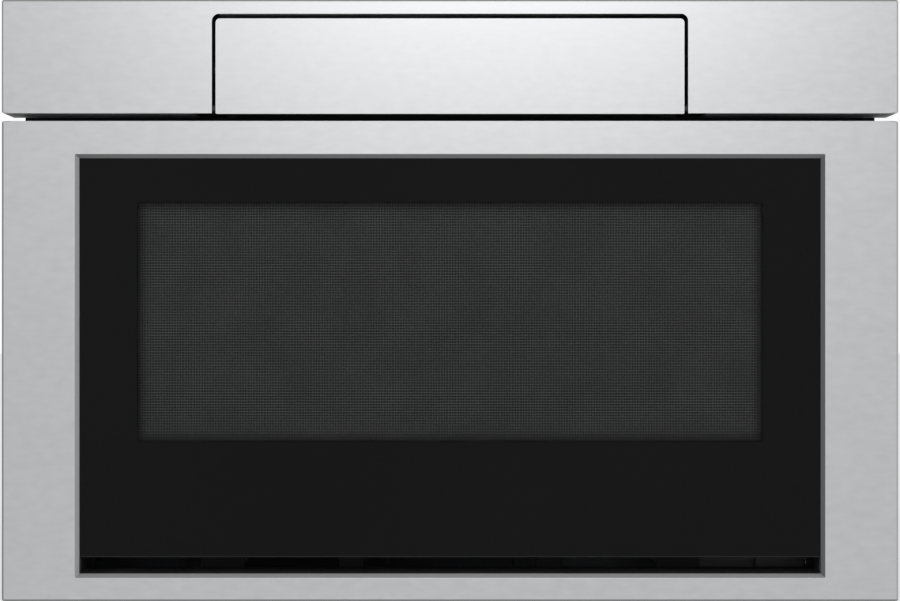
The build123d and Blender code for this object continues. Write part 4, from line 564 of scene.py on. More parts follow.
@built_once
def window_glass(name, tone, low, high):
    """Black glass whose print opens over the screen, between two corners in X and Z."""
    material, tree, shader = new_material(name, Roughness=0.03, IOR=1.5, Specular_IOR_Level=0.1)
    values = {"Tone": tone, "Second_tone": darker(tone, 1.6), "Grain": 300.0, "Patch": 6.0}
    speckle = place_group(tree, fine_speckle, **values)
    place = add(tree, "SeparateXYZ", {0: add(tree, "TexCoord").outputs["Object"]})
    clear = 0.64
    for axis, first, last in ((0, low[0], high[0]), (2, low[1], high[1])):
        reach = maths(tree, "ABSOLUTE", maths(tree, "SUBTRACT", place.outputs[axis], (first + last) / 2))
        room = maths(tree, "SUBTRACT", (last - first) / 2, reach)
        inside = maths(tree, "DIVIDE", room, sizes().print_edge, clamp=True)
        fade = {"Value": room, "From Max": sizes().print_fade, "To Min": 0.8}
        ramp = add(tree, "MapRange", fade).outputs[0]
        clear = maths(tree, "MULTIPLY", maths(tree, "MULTIPLY", inside, ramp), clear)
    solid = maths(tree, "SUBTRACT", 1.0, clear)
    wire(tree, shader, Base_Color=speckle.outputs["Color"], Alpha=solid)
    return material


# ---- Pieces of the visible front
def finishes():
    """Colours that the user has set."""
    return bpy.context.scene.drawer_finishes


def sizes():
    """Sizes that the user has set."""
    return bpy.context.scene.drawer_sizes


def stainless():
    """Brushed stainless of the visible front."""
    return brushed_metal("stainless_brushed", finishes().stainless)


def folds(*shares):
    """Darker copies of the stainless for folds, bevels and undersides, at shares of its lightness: painted
    shade for faces that turn away from the light.
    """
    tone = finishes().stainless
    return [
        brushed_metal(f"stainless_fold_{round(share * 100)}", darker(tone, share), 0.1, 0.4, 0.3, 0.4)
        for share in shares
    ]


def shaded_sheet(name, level):
    """Matt grey sheet put inside a gap in place of the stainless, at a level that is painted shade on
    undersides and painted light on the lip.
    """
    tone = (level, level, level * 1.03, 1.0)
    return speckled(name, tone, 0.3, 900.0, 14.0, 0.1, Roughness=0.6, Specular_IOR_Level=0.1)


def start_tray(name, low, high):
    """A box without its back, in edit mode, to be made a folded sheet."""
    piece = start_block(name, low, high)
    edit(piece)
    delete_faces(piece, lambda face: face.normal.y > 0.9)
    return piece


def thicken(piece):
    """Leaves edit mode and gives the piece the sheet's thickness, inwards."""
    close_edit()
    modify(piece, "SOLIDIFY", thickness=sizes().sheet, offset=-1.0, use_even_offset=True)


def round_folds(piece, low, high, *sides):
    """Rounds the outer folds of a sheet between two corners, on the named sides."""

    def is_fold(edge):
        turns = sorted(face.normal.y for face in edge.link_faces)
        if len(turns) != 2 or turns[0] > -0.9 or abs(turns[1]) > 0.1 or middle(edge).y > low[1] + NEAR:
            return False
        return room_to_side(middle(edge), low, high, *sides) < sizes().corner_radius

    edit(piece)
    bevel(piece, sizes().fold_width, 1, is_fold)
    close_edit()


def room_to_side(place, low, high, *sides):
    """Least distance from a place to the named sides: left, right, bottom and top."""
    rooms = {
        "left": place[0] - low[0],
        "right": high[0] - place[0],
        "bottom": place[2] - low[2],
        "top": high[2] - place[2],
    }
    return min(rooms[side] for side in sides)


def paint_folds(piece, low, high, **indices):
    """Gives the rounded outer fold on each named side one of the piece's materials."""
    reach = sizes().fold_width * 1.2

    def on_fold(face, side):
        near_side = room_to_side(face.center, low, high, side) < reach
        return near_side and face.center.y < low[1] + reach and -0.985 < face.normal.y < -0.02

    for side, index in indices.items():
        paint_where(piece, index, lambda face: on_fold(face, side))


def mouth_edges():
    """Left, right, lower and upper inner edges of the door's bevel."""
    low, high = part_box("door_glass")
    frame_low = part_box("door_frame")[0]
    overlap = sizes().glass_overlap
    bottom = frame_low[2] + sizes().bottom_rail + sizes().bevel_width
    return low[0] + overlap, high[0] - overlap, bottom, high[2] - overlap


def window_edges():
    """Lower and upper corners, in X and Z, of the perforated window."""
    half = sizes().window_width / 2
    top = mouth_edges()[3] - sizes().window_drop
    return (-half, top - sizes().window_height), (half, top)


class DRAWER_OT_door_frame(Operator):
    """Models the stainless front of the drawer, with its mitred bevel"""

    bl_idname = "drawer.door_frame"
    bl_label = "Door frame"

    def execute(self, context):
        low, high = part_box("door_frame")
        front = low[1]
        depth = sizes().bevel_depth
        width = sizes().bevel_width
        left, right, bottom, top = mouth_edges()
        outer_x = (left - width, right + width)
        outer_z = (bottom - width, top + width)

        def in_mouth(place, room):
            in_width = outer_x[0] - room < place.x < outer_x[1] + room
            return in_width and outer_z[0] - room < place.z < outer_z[1] + room

        def in_front(part):
            return in_mouth(middle(part), NEAR) and middle(part).y < front + NEAR

        piece = start_tray("stainless_front", low, high)
        bevel(piece, sizes().corner_radius, 4, lambda edge: along(edge, 1))
        slice_at(0, outer_x)
        slice_at(2, outer_z)
        delete_faces(piece, in_front)
        pick(piece, "edges", in_front)
        bpy.ops.mesh.extrude_edges_move(TRANSFORM_OT_translate={"value": (0.0, depth, 0.0)})
        centre = (0.0, front, (bottom + top) / 2)
        for axis, sign in ((0, -1), (0, 1), (2, -1), (2, 1)):

            def on_rim(point):
                is_deep = abs(point.co.y - front - depth) < NEAR
                return is_deep and sign * (point.co[axis] - centre[axis]) > 0

            pick(piece, "verts", on_rim)
            move = Vector.Fill(3, 0.0)
            move[axis] = -sign * width
            bpy.ops.transform.translate(value=move)
        select_all()
        bpy.ops.mesh.normals_make_consistent(inside=False)
        thicken(piece)
        round_folds(piece, low, high, "left", "right", "bottom")
        soften(piece, sizes().edge_radius)
        # Painted shade: the outer folds and the four bevel facets take darker stainless at a share set per
        # side, with the right fold and the left bevel lighter as if lit from the right.
        paint(piece, stainless(), *folds(0.48, 0.4, 0.68, 0.27, 0.55, 0.45, 0.85))
        paint_folds(piece, low, high, left=1, right=7, bottom=6)
        bevels = ((2, -1), (0, 1), (0, -1), (2, 1))
        for index, (axis, sign) in enumerate(bevels, 2):

            def on_bevel(face):
                inside = in_mouth(face.center, 0.0) and face.center.y < front + depth
                return inside and 0.5 < sign * face.normal[axis] < 0.98

            paint_where(piece, index, on_bevel)
        hang(piece, "drawer", "brushed_front", "door_frame")
        return {"FINISHED"}


class DRAWER_OT_door_glass(Operator):
    """Models the door glass with its ground edge and clear window"""

    bl_idname = "drawer.door_glass"
    bl_label = "Door glass"

    def execute(self, context):
        piece = start_block("door_pane", *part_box("door_glass"))
        soften(piece, sizes().glass_edge)
        pane = window_glass("door_black_glass", finishes().glass_black, *window_edges())
        tones = ((0.012, 0.0125, 0.0125, 1.0), (0.009, 0.0095, 0.0095, 1.0))
        sockets = {"Roughness": 0.35, "Specular_IOR_Level": 0.2}
        paint(piece, pane, speckled("ground_glass_edge", *tones, 1500.0, 60.0, 0.2, **sockets))
        paint_where(piece, 1, lambda face: abs(face.normal.y) < 0.98)
        hang(piece, "drawer", "black_glass", "door_glass")
        return {"FINISHED"}


class DRAWER_OT_screen(Operator):
    """Models the perforated microwave screen behind the window"""

    bl_idname = "drawer.screen"
    bl_label = "Microwave screen"

    def execute(self, context):
        low, high = window_edges()
        screen_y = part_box("choke_frame")[0][1] - 0.0001
        pitch = sizes().mesh_pitch
        columns = round((high[0] - low[0]) / pitch)
        rows = round((high[1] - low[1]) / pitch)
        clear_selection()
        bpy.ops.mesh.primitive_grid_add(
            x_subdivisions=columns,
            y_subdivisions=rows,
            size=1.0,
            location=(0.0, screen_y, (low[1] + high[1]) / 2),
            rotation=(math.pi / 2, 0.0, 0.0),
        )
        piece = context.object
        piece.name = "microwave_screen"
        piece.scale = (columns * pitch, rows * pitch, 1.0)
        settle(piece)
        edit(piece)
        bpy.ops.mesh.select_mode(type="FACE")
        hollow_faces(sizes().mesh_web / 2, use_individual=True)
        metal = speckled("screen_metal", finishes().screen_metal, 0.75, 400.0, 30.0, 0.1, Roughness=0.5)
        paint(piece, metal)
        hang(piece, "drawer", "dark_screen")
        return {"FINISHED"}


class DRAWER_OT_fascia(Operator):
    """Models the stainless fascia with the notch of the control flap"""

    bl_idname = "drawer.fascia"
    bl_label = "Fascia"

    LIP_DEPTH = 0.019
    LIP_INSET = 0.002
    STEP = 0.0001
    WELL_ROOM = 0.0102

    def execute(self, context):
        low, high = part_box("fascia_panel")
        flap_low, flap_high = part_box("flap_panel")
        notch_top = flap_high[2] + sizes().flap_top_gap
        inner_y = low[1] + sizes().sheet
        piece = start_tray("stainless_fascia", low, high)
        bevel(piece, sizes().corner_radius, 4, lambda edge: along(edge, 1))
        thicken(piece)
        cut(piece, self.notch(low, flap_low, (flap_high[0], inner_y, notch_top)))
        well_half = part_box("control_housing")[1][0] + self.WELL_ROOM
        well_low = (-well_half, inner_y, low[2] - BEYOND)
        well_high = (well_half, high[1] + BEYOND, low[2] + sizes().sheet + 0.001)
        cut(piece, start_block("well_cutter", well_low, well_high))
        round_folds(piece, low, high, "left", "right", "top")
        soften(piece, sizes().edge_radius)
        lip_low = (flap_low[0] + self.LIP_INSET, inner_y, notch_top + self.STEP)
        lip_high = (flap_high[0] - self.LIP_INSET, low[1] + self.LIP_DEPTH, notch_top + sizes().sheet)
        lip = start_block("notch_lip", lip_low, lip_high)
        soften(lip, sizes().edge_radius)
        join((piece, lip))

        def on_lip(face):
            inside = abs(face.center.x) < flap_high[0] and face.center.y > inner_y + self.STEP
            return inside and -self.STEP < face.center.z - notch_top < sizes().sheet + 2 * self.STEP

        # Painted shade: darker stainless on the left and top folds, a lighter copy on the right fold, and a
        # dark matt sheet on the undersides; the lip's lighter matt grey is painted light in the gap above the
        # flap.
        sheets = (shaded_sheet("shaded_sheet", 0.38), shaded_sheet("shaded_lip", 0.55))
        paint(piece, stainless(), *folds(0.58, 0.44, 0.86), *sheets)
        paint_folds(piece, low, high, left=1, top=2, right=3)
        paint_where(piece, 4, lambda face: face.normal.z < -0.5 and face.normal.y > -0.5)
        paint_where(piece, 5, on_lip)
        hang(piece, "chassis", "brushed_front", "fascia_panel")
        return {"FINISHED"}

    def notch(self, low, flap_low, inner):
        """Cutter of the notch, with round upper corners; inner is its far upper corner beside the flap."""
        gap = sizes().flap_gap
        cutter_low = (flap_low[0] - gap, low[1] - BEYOND, low[2] - 2 * BEYOND)
        cutter_high = (inner[0] + gap, inner[1] + 0.001, inner[2])
        cutter = start_block("notch_cutter", cutter_low, cutter_high)
        edit(cutter)
        bevel(cutter, sizes().notch_radius, 8, lambda edge: along(edge, 1) and middle(edge).z > low[2])
        close_edit()
        return cutter


class DRAWER_OT_flap_face(Operator):
    """Models the stainless face of the control flap"""

    bl_idname = "drawer.flap_face"
    bl_label = "Flap face"

    PIN_Y = 0.006
    PIN_Z = 0.004
    PIN_RADIUS = 0.0027

    def execute(self, context):
        low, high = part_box("flap_panel")
        pin_y = low[1] + self.PIN_Y
        pin_z = low[2] + self.PIN_Z
        centre_z = (low[2] + high[2]) / 2
        lowest = low[2] + 0.001
        piece = start_tray("stainless_flap", low, high)
        bevel(piece, sizes().flap_top_radius, 6, lambda edge: along(edge, 1) and middle(edge).z > centre_z)
        bevel(piece, sizes().flap_bottom_radius, 5, lambda edge: along(edge, 1) and middle(edge).z < lowest)
        thicken(piece)
        place = (0.0, pin_y, pin_z)
        along_x = (0.0, math.pi / 2, 0.0)
        cut(piece, start_rod("pin_cutter", self.PIN_RADIUS, 2 * (high[0] + BEYOND), place, along_x))
        soften(piece, sizes().edge_radius)

        def near_pin(face):
            return face.center.y > low[1] + 0.0008 and abs(face.center.z - pin_z) < 2 * self.PIN_RADIUS

        # Painted shade: the flap's sides and back take stainless at half its lightness, and the faces round
        # the hinge pin nearly black.
        paint(piece, stainless(), *folds(0.5, 0.05))
        paint_where(piece, 1, lambda face: face.normal.y > -0.9)
        paint_where(piece, 2, near_pin)
        hang(piece, "control_flap", "brushed_front", "flap_panel")
        return {"FINISHED"}


# ---- Pieces that start from the CAD's own shape
def body_of_node(name):
    """Body that a CAD node rides on."""
    return body_of(frame["nodes"][name])[0]


def slot_of_node(name):
    """Material slot of a CAD node."""
    return next(part["material_slot"] for part in frame["record"]["subparts"] if part["node"] == name)


def copy_node(name):
    """A CAD node's shape as a new piece, merged and with its flat faces whole."""
    node = frame["nodes"][name]
    piece = bpy.data.objects.new(f"{name}_piece", node.data.copy())
    bpy.context.scene.collection.objects.link(piece)
    edit(piece)
    select_all()
    bpy.ops.mesh.remove_doubles(threshold=1e-6)
    bpy.ops.mesh.dissolve_limited(angle_limit=math.radians(0.5))
    close_edit()
    if piece.data.has_custom_normals:
        bpy.ops.mesh.customdata_custom_splitnormals_clear()
    return piece


def stand_in(piece, name):
    """The piece stands for a CAD node, with the node's body and slot."""
    hang(piece, body_of_node(name), slot_of_node(name), name)


def round_nodes(width, names):
    """Stands copies with rounded edges in for CAD nodes."""
    for name in names.split():
        piece = copy_node(name)
        soften(piece, width)
        stand_in(piece, name)


def islands(piece):
    """Lowest and highest corner of each loose part of a piece."""
    shape = bmesh.new()
    shape.from_mesh(piece.data)
    seen = set()
    boxes = []
    for first in shape.verts:
        if first in seen:
            continue
        seen.add(first)
        front = [first]
        places = []
        while front:
            point = front.pop()
            places.append(point.co.copy())
            near = {edge.other_vert(point) for edge in point.link_edges} - seen
            seen |= near
            front += near
        low = Vector([min(place[axis] for place in places) for axis in range(3)])
        high = Vector([max(place[axis] for place in places) for axis in range(3)])
        boxes.append((low, high))
    shape.free()
    return boxes


class DRAWER_OT_chassis(Operator):
    """Rounds the edges of the chassis' sheets, the control housing and the cord's inlet"""

    bl_idname = "drawer.chassis"
    bl_label = "Chassis"

    def execute(self, context):
        round_nodes(0.0002, "base_pan side_panel_left side_panel_right top_cover rear_panel front_plate")
        round_nodes(0.0003, "control_housing cord_gland")
        return {"FINISHED"}


class DRAWER_OT_oven(Operator):
    """Rounds the edges of the oven's cavity, its microwave feed and its lamp"""

    bl_idname = "drawer.oven"
    bl_label = "Oven"

    def execute(self, context):
        round_nodes(0.0002, "cavity_wrapper cavity_ceiling cavity_rear waveguide stirrer_cover")
        round_nodes(0.0003, "stirrer_motor stirrer_blade magnetron oven_lamp")
        return {"FINISHED"}


def small_part(name, tone, second=0.8, **sockets):
    """Moulded plastic, tape or metal of a small part."""
    return speckled(name, tone, second, 900.0, 40.0, 0.2, **{"Roughness": 0.45, **sockets})


class DRAWER_OT_electrics(Operator):
    """Rounds the edges of the cooling, the supply and the interlock, and colours their small parts"""

    bl_idname = "drawer.electrics"
    bl_label = "Electrics"

    EDGE = 0.0002
    RELAYS, COILS, PLUGS, POSTS = 1, 2, 3, 4
    BOARD_ROOM = 0.002
    PART_ROOM = 0.0003
    PLUG_SHARE = 0.85
    PLUNGER_REACH = 0.00055
    TERMINAL_SHARE = 0.69

    def execute(self, context):
        round_nodes(self.EDGE, "fan_shroud interlock_brackets")
        round_nodes(0.0004, "fan_motor fan_wheel transformer_core transformer_coils hv_capacitor")
        round_nodes(0.0003, "latch_hook_left latch_hook_right")
        self.add_board("power_board")
        self.add_board("noise_filter")
        self.add_switches("interlock_switches")
        return {"FINISHED"}

    def add_board(self, name):
        """A circuit board, with the parts on it and the posts under it in their own materials."""
        piece = copy_node(name)
        flat = max(piece.data.polygons, key=lambda face: face.area * (face.normal.z > 0.9))
        top = flat.center.z
        low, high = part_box(name)
        middle_x = (low[0] + high[0]) / 2
        plug_y = low[1] + (high[1] - low[1]) * self.PLUG_SHARE
        soften(piece, self.EDGE)
        paint_more(
            piece,
            small_part("relay_black", (0.02, 0.02, 0.022, 1.0), Roughness=0.3),
            small_part("winding_tape", (0.75, 0.55, 0.08, 1.0), 0.9),
            small_part("connector_white", (0.75, 0.74, 0.7, 1.0), 0.93),
            small_part("standoff_brass", (0.7, 0.52, 0.22, 1.0), 0.85, Metallic=0.9, Roughness=0.35),
        )

        def on_part(face):
            return face.center.z > top + self.PART_ROOM

        paint_where(piece, self.COILS, on_part)
        paint_where(piece, self.RELAYS, lambda face: on_part(face) and face.center.x >= middle_x)
        paint_where(piece, self.PLUGS, lambda face: on_part(face) and face.center.y > plug_y)
        paint_where(piece, self.POSTS, lambda face: face.center.z < top - self.BOARD_ROOM)
        stand_in(piece, name)

    def add_switches(self, name):
        """The interlock's switches, with plated terminals and red plungers."""
        low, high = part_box(name)
        terminal_z = low[2] + (high[2] - low[2]) * self.TERMINAL_SHARE
        plunger_z = low[2] + self.PLUNGER_REACH
        piece = copy_node(name)
        soften(piece, self.EDGE)
        paint_more(
            piece,
            small_part("plunger_red", (0.5, 0.03, 0.02, 1.0), 0.9),
            small_part("terminal_tin", (0.65, 0.65, 0.63, 1.0), 0.9, Metallic=1.0, Roughness=0.3),
        )
        paint_where(piece, 1, lambda face: face.center.z < plunger_z)
        paint_where(piece, 2, lambda face: face.center.z > terminal_z and abs(face.normal.z) < 0.9)
        stand_in(piece, name)


class DRAWER_OT_runners(Operator):
    """Rounds the edges of the slides, the rack and its drive"""

    bl_idname = "drawer.runners"
    bl_label = "Runners"

    def execute(self, context):
        round_nodes(0.0002, "slide_brackets slide_outer_left slide_outer_right drawer_brackets")
        round_nodes(0.0002, "slide_inner_left slide_inner_right slide_middle_left slide_middle_right")
        round_nodes(0.0001, "ball_cages_outer ball_cages_inner")
        round_nodes(0.0002, "drive_rack drive_pinion drawer_motor")
        return {"FINISHED"}


class DRAWER_OT_drawer_box(Operator):
    """Rounds the edges of the tub, its floor and the layers of the door"""

    bl_idname = "drawer.drawer_box"
    bl_label = "Drawer box"

    def execute(self, context):
        round_nodes(0.0003, "drawer_tub choke_frame door_back_panel tub_glides")
        round_nodes(0.0003, "choke_cover vent_channel inner_window")
        round_nodes(0.0008, "ceramic_floor")
        return {"FINISHED"}


class DRAWER_OT_screws(Operator):
    """Domes the chassis screws and cuts the cross in each head"""

    bl_idname = "drawer.screws"
    bl_label = "Screws"

    DOME = 0.0007
    CROSS_REACH = 0.0019
    CROSS_HALF = 0.0004
    CROSS_DEPTH = 0.0011

    def execute(self, context):
        piece = copy_node("chassis_screws")
        soften(piece, self.DOME, 3)
        low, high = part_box("chassis_screws")
        for part_low, part_high in islands(piece):
            rooms = {
                (0, 1): high[0] - part_high[0],
                (0, -1): part_low[0] - low[0],
                (1, 1): high[1] - part_high[1],
                (2, 1): high[2] - part_high[2],
            }
            axis, sign = min(rooms, key=rooms.get)
            place = (part_low + part_high) / 2
            place[axis] = part_high[axis] if sign > 0 else part_low[axis]
            first, second = (other for other in range(3) if other != axis)
            for long_axis, short_axis in ((first, second), (second, first)):
                half = Vector.Fill(3, self.CROSS_DEPTH)
                half[long_axis] = self.CROSS_REACH
                half[short_axis] = self.CROSS_HALF
                cut(piece, start_block("cross_cutter", place - half, place + half))
        hang(piece, "chassis", "zinc_steel", "chassis_screws")
        return {"FINISHED"}


class DRAWER_OT_touch_panel(Operator):
    """Models the control glass, with its keys, symbols and display"""

    bl_idname = "drawer.touch_panel"
    bl_label = "Touch panel"

    SEGMENTS = {"0": "abcdef", "1": "bc", "2": "abged"}
    COLUMNS = (-0.13, -0.108, -0.086, -0.064, 0.028, 0.05, 0.07, 0.09, 0.11, 0.13)
    ROWS = (0.0093, -0.0093)
    DISPLAY_X = -0.018
    THICKNESS = 0.00004
    STROKE = 0.0005

    def execute(self, context):
        glass = copy_node("control_glass")
        top = max(glass.data.polygons, key=lambda face: face.area * (face.normal.z > 0.1))
        normal = top.normal.copy()
        centre = top.center.copy()
        soften(glass, 0.0004)
        hang(glass, "control_flap", "touch_glass", "control_glass")
        tones = finishes()
        glow = tones.display_glow
        dark = ((0.004, 0.006, 0.008, 1.0), (0.006, 0.009, 0.012, 1.0))
        shine = {"Emission_Color": tuple(glow), "Emission_Strength": 0.9}
        self.print_paint = speckled("panel_print", tones.print_white, 0.92, 2500.0, 80.0, 0.05, Roughness=0.5)
        self.display_paint = speckled("panel_display", *dark, 1500.0, 60.0, 0.0, Roughness=0.15)
        self.digit_paint = speckled(
            "panel_digit", darker(glow, 0.6), darker(glow, 0.5), 1500.0, 60.0, 0.0, Roughness=0.4, **shine
        )
        self.parts = []
        self.add_keys()
        self.add_digits()
        self.add_icons(*self.COLUMNS[:5], *self.ROWS)
        self.add_display()
        join(self.parts)
        piece = self.parts[0]
        piece.name = "panel_symbols"
        across = Vector((1.0, 0.0, 0.0))
        turn = Matrix((across, normal.cross(across), normal)).transposed().to_4x4()
        piece.matrix_world = Matrix.Translation(centre + normal * self.THICKNESS) @ turn
        hang(piece, "control_flap", "touch_glass")
        return {"FINISHED"}

    def keep(self, part, x, y, material=None, turn=0.0, rise=0.0):
        """Puts a part of the print in its place on the XY plane."""
        part.rotation_euler = (0.0, 0.0, turn)
        part.location = (x, y, rise)
        settle(part)
        paint(part, material or self.print_paint)
        self.parts.append(part)

    def bar(self, x, y, width, height, *material, **place):
        """A printed bar."""
        half = Vector((width / 2, height / 2, self.THICKNESS / 2))
        self.keep(start_block("bar", -half, half), x, y, *material, **place)

    def shape(self, x, y, radius, sides=28, turn=0.0):
        """A printed ring, or a full triangle that points up before its turn."""
        clear_selection()
        bpy.ops.mesh.primitive_circle_add(vertices=sides, radius=radius, fill_type="NGON")
        part = bpy.context.object
        if sides > 3:
            edit(part)
            hollow_faces(self.STROKE)
        self.keep(part, x, y, turn=turn)

    def add_keys(self):
        """Outlines of the keys, modelled once and copied."""
        clear_selection()
        bpy.ops.mesh.primitive_plane_add(size=1.0)
        first = bpy.context.object
        first.scale = (sizes().key_width, sizes().key_height, 1.0)
        settle(first)
        edit(first)
        select_all()
        bpy.ops.mesh.bevel(offset=0.002, segments=4, affect="VERTICES")
        hollow_faces(0.0003)
        for x in self.COLUMNS:
            for y in self.ROWS:
                take(first)
                bpy.ops.object.duplicate()
                self.keep(bpy.context.object, x, y)
        bpy.data.objects.remove(first)

    def add_digits(self):
        """Digits 1 to 9 and 0, as meshes."""
        for index, digit in enumerate("1234567890"):
            clear_selection()
            bpy.ops.object.text_add()
            text = bpy.context.object.data
            text.body = digit
            text.size = 0.0085
            text.align_x = "CENTER"
            text.align_y = "CENTER"
            text.resolution_u = 4
            bpy.ops.object.convert(target="MESH")
            self.keep(bpy.context.object, self.COLUMNS[5 + index % 5], self.ROWS[index // 5])

    def add_icons(self, timer, power, lamp, menu, action, up, down):
        """Symbols of the other keys: one argument for each column and row."""
        thin = self.STROKE
        self.shape(timer, up, 0.0038)
        self.bar(timer, up + 0.0011, thin, 0.0022)
        self.bar(timer + 0.0009, up, 0.0018, thin)
        for step in range(4):
            height = 0.0018 + 0.0016 * step
            self.bar(power - 0.0032 + 0.0021 * step, up - 0.0034 + height / 2, 0.0012, height)
        self.shape(lamp, up, 0.0028)
        for step in range(8):
            angle = step * math.tau / 8
            x = lamp + 0.0042 * math.cos(angle)
            self.bar(x, up + 0.0042 * math.sin(angle), 0.0012, thin, turn=angle)
        for step in (1, 0, -1):
            self.bar(menu, up + 0.0022 * step, 0.0074, 0.0006)
        self.shape(timer, down, 0.0038, 3, math.pi / 2)
        self.shape(power, down, 0.0038, 3, -math.pi / 2)
        self.bar(lamp, down, 0.0064, 0.0007)
        self.bar(menu, down, 0.0064, 0.0007)
        self.bar(menu, down, 0.0007, 0.0064)
        self.shape(action, up, 0.0042, 3)
        self.bar(action, down, 0.0056, 0.0056)

    def add_display(self):
        """The dark display and its lit segments."""
        self.bar(self.DISPLAY_X, 0.0, 0.062, 0.03, self.display_paint)
        for step, digit in enumerate("1200"):
            x = self.DISPLAY_X - 0.0195 + 0.0115 * step + (0.0045 if step > 1 else 0.0)
            for name in self.SEGMENTS[digit]:
                self.segment(name, x, 0.0075, 0.014)
        for y in (0.003, -0.003):
            self.bar(self.DISPLAY_X - 0.0001, y, 0.0014, 0.0014, self.digit_paint)

    def segment(self, name, x, width, height):
        """One lit segment of a digit, just above the display."""
        stroke = 0.0012
        if name in "agd":
            y = {"a": height / 2, "g": 0.0, "d": -height / 2}[name]
            size = (width - 1.6 * stroke, stroke)
        else:
            x += width / 2 if name in "bc" else -width / 2
            y = height / 4 if name in "bf" else -height / 4
            size = (stroke, height / 2 - 1.6 * stroke)
        self.bar(x, y, *size, self.digit_paint, rise=self.THICKNESS)


class DRAWER_OT_flap_box(Operator):
    """Rounds the edges of what rides behind the control flap"""

    bl_idname = "drawer.flap_box"
    bl_label = "Flap box"

    def execute(self, context):
        round_nodes(0.0003, "flap_housing flap_motor flap_pinion")
        round_nodes(0.0002, "control_board")
        return {"FINISHED"}


# ---- Materials of the works
class DRAWER_OT_works(Operator):
    """Gives every CAD node its material, which its rounded copy takes over"""

    bl_idname = "drawer.works"
    bl_label = "Works"

    def execute(self, context):
        by_slot = {**self.metals(), **self.paints(), **self.plastics(), **self.panes()}
        for subpart in frame["record"]["subparts"]:
            node = frame["nodes"][subpart["node"]]
            if not node.material_slots:
                raise RuntimeError(f"{node.name} has no material slot")
            for place in node.material_slots:
                place.material = by_slot[subpart["material_slot"]]
        return {"FINISHED"}

    def metals(self):
        """Bare and coated metals, by slot."""
        iron = ((0.16, 0.15, 0.15, 1.0), (0.3, 0.29, 0.28, 1.0))
        copper = ((0.32, 0.11, 0.03, 1.0), (0.72, 0.33, 0.13, 1.0))
        return {
            "brushed_front": stainless(),
            "galvanised": galvanised("galvanised_sheet", finishes().galvanised_grey),
            "zinc_steel": brushed_metal("zinc_plated", (0.6, 0.61, 0.62, 1.0), 0.2, 0.32, 0.3),
            "bearing": brushed_metal("bearing_steel", (0.7, 0.7, 0.71, 1.0), 0.1, 0.14, 0.0),
            "motor_case": brushed_metal("motor_can", (0.58, 0.58, 0.57, 1.0), 0.25, 0.4, 0.2),
            "lamination": striped("core_lamination", *iron, "Y", 0.001, Metallic=0.6, Roughness=0.5),
            "copper_coil": striped("copper_winding", *copper, "Z", 0.0012, Metallic=0.7, Roughness=0.35),
        }

    def paints(self):
        """Painted, enamelled and glazed surfaces, by slot."""
        grey = finishes().enamel_grey
        enamel = {"Roughness": 0.25, "Coat_Weight": 0.4, "Coat_Roughness": 0.08}
        plate = {"Roughness": 0.5, "Specular_IOR_Level": 0.12}
        black = finishes().plastic_black
        white = ((0.83, 0.82, 0.79, 1.0), (0.8, 0.79, 0.76, 1.0))
        glaze = {"Roughness": 0.16, "Coat_Weight": 0.5}
        return {
            "black_plate": speckled("black_paint", finishes().plate_black, 1.5, 1200.0, 20.0, 0.2, **plate),
            "enamel": speckled("oven_enamel", grey, 0.86, 1500.0, 18.0, 0.08, **enamel),
            "dark_screen": speckled(
                "pan_paint", darker(black, 0.4), darker(black, 0.7), 900.0, 20.0, 0.2, Roughness=0.6
            ),
            "ceramic": speckled("glazed_ceramic", *white, 700.0, 12.0, 0.06, **glaze),
        }

    def plastics(self):
        """Mouldings, rubber and boards, by slot."""
        black = finishes().plastic_black
        nylon = ((0.78, 0.76, 0.7, 1.0), (0.7, 0.68, 0.62, 1.0))
        wax = {"Roughness": 0.42, "Subsurface_Weight": 0.1, "Subsurface_Scale": 0.002}
        white = ((0.8, 0.8, 0.78, 1.0), (0.74, 0.74, 0.72, 1.0))
        green = ((0.02, 0.11, 0.05, 1.0), (0.03, 0.17, 0.08, 1.0))
        mica = ((0.6, 0.54, 0.4, 1.0), (0.72, 0.67, 0.54, 1.0))
        return {
            "black_plastic": speckled("black_moulding", black, 1.8, 1600.0, 30.0, 0.35, Roughness=0.5),
            "gasket_black": speckled("black_rubber", black, 1.4, 900.0, 40.0, 0.3, Roughness=0.75),
            "nylon": speckled("white_nylon", *nylon, 800.0, 30.0, 0.15, **wax),
            "white_plastic": speckled("white_moulding", *white, 900.0, 30.0, 0.15, Roughness=0.45),
            "board": speckled("board_green", *green, 260.0, 60.0, 0.2, Roughness=0.4),
            "mica": speckled("mica_sheet", *mica, 120.0, 18.0, 0.1, Roughness=0.45),
        }

    def panes(self):
        """Glass, by slot."""
        gloss = {"Roughness": 0.06, "Specular_IOR_Level": 0.4}
        touch = speckled("touch_glass", finishes().glass_black, 1.5, 300.0, 10.0, 0.0, **gloss)
        sockets = {"Roughness": 0.02, "Transmission_Weight": 1.0, "IOR": 1.5}
        clear = new_material("clear_glass", **sockets, Base_Color=(0.92, 0.96, 0.95, 1.0))[0]
        return {"black_glass": touch, "touch_glass": touch, "clear_glass": clear}


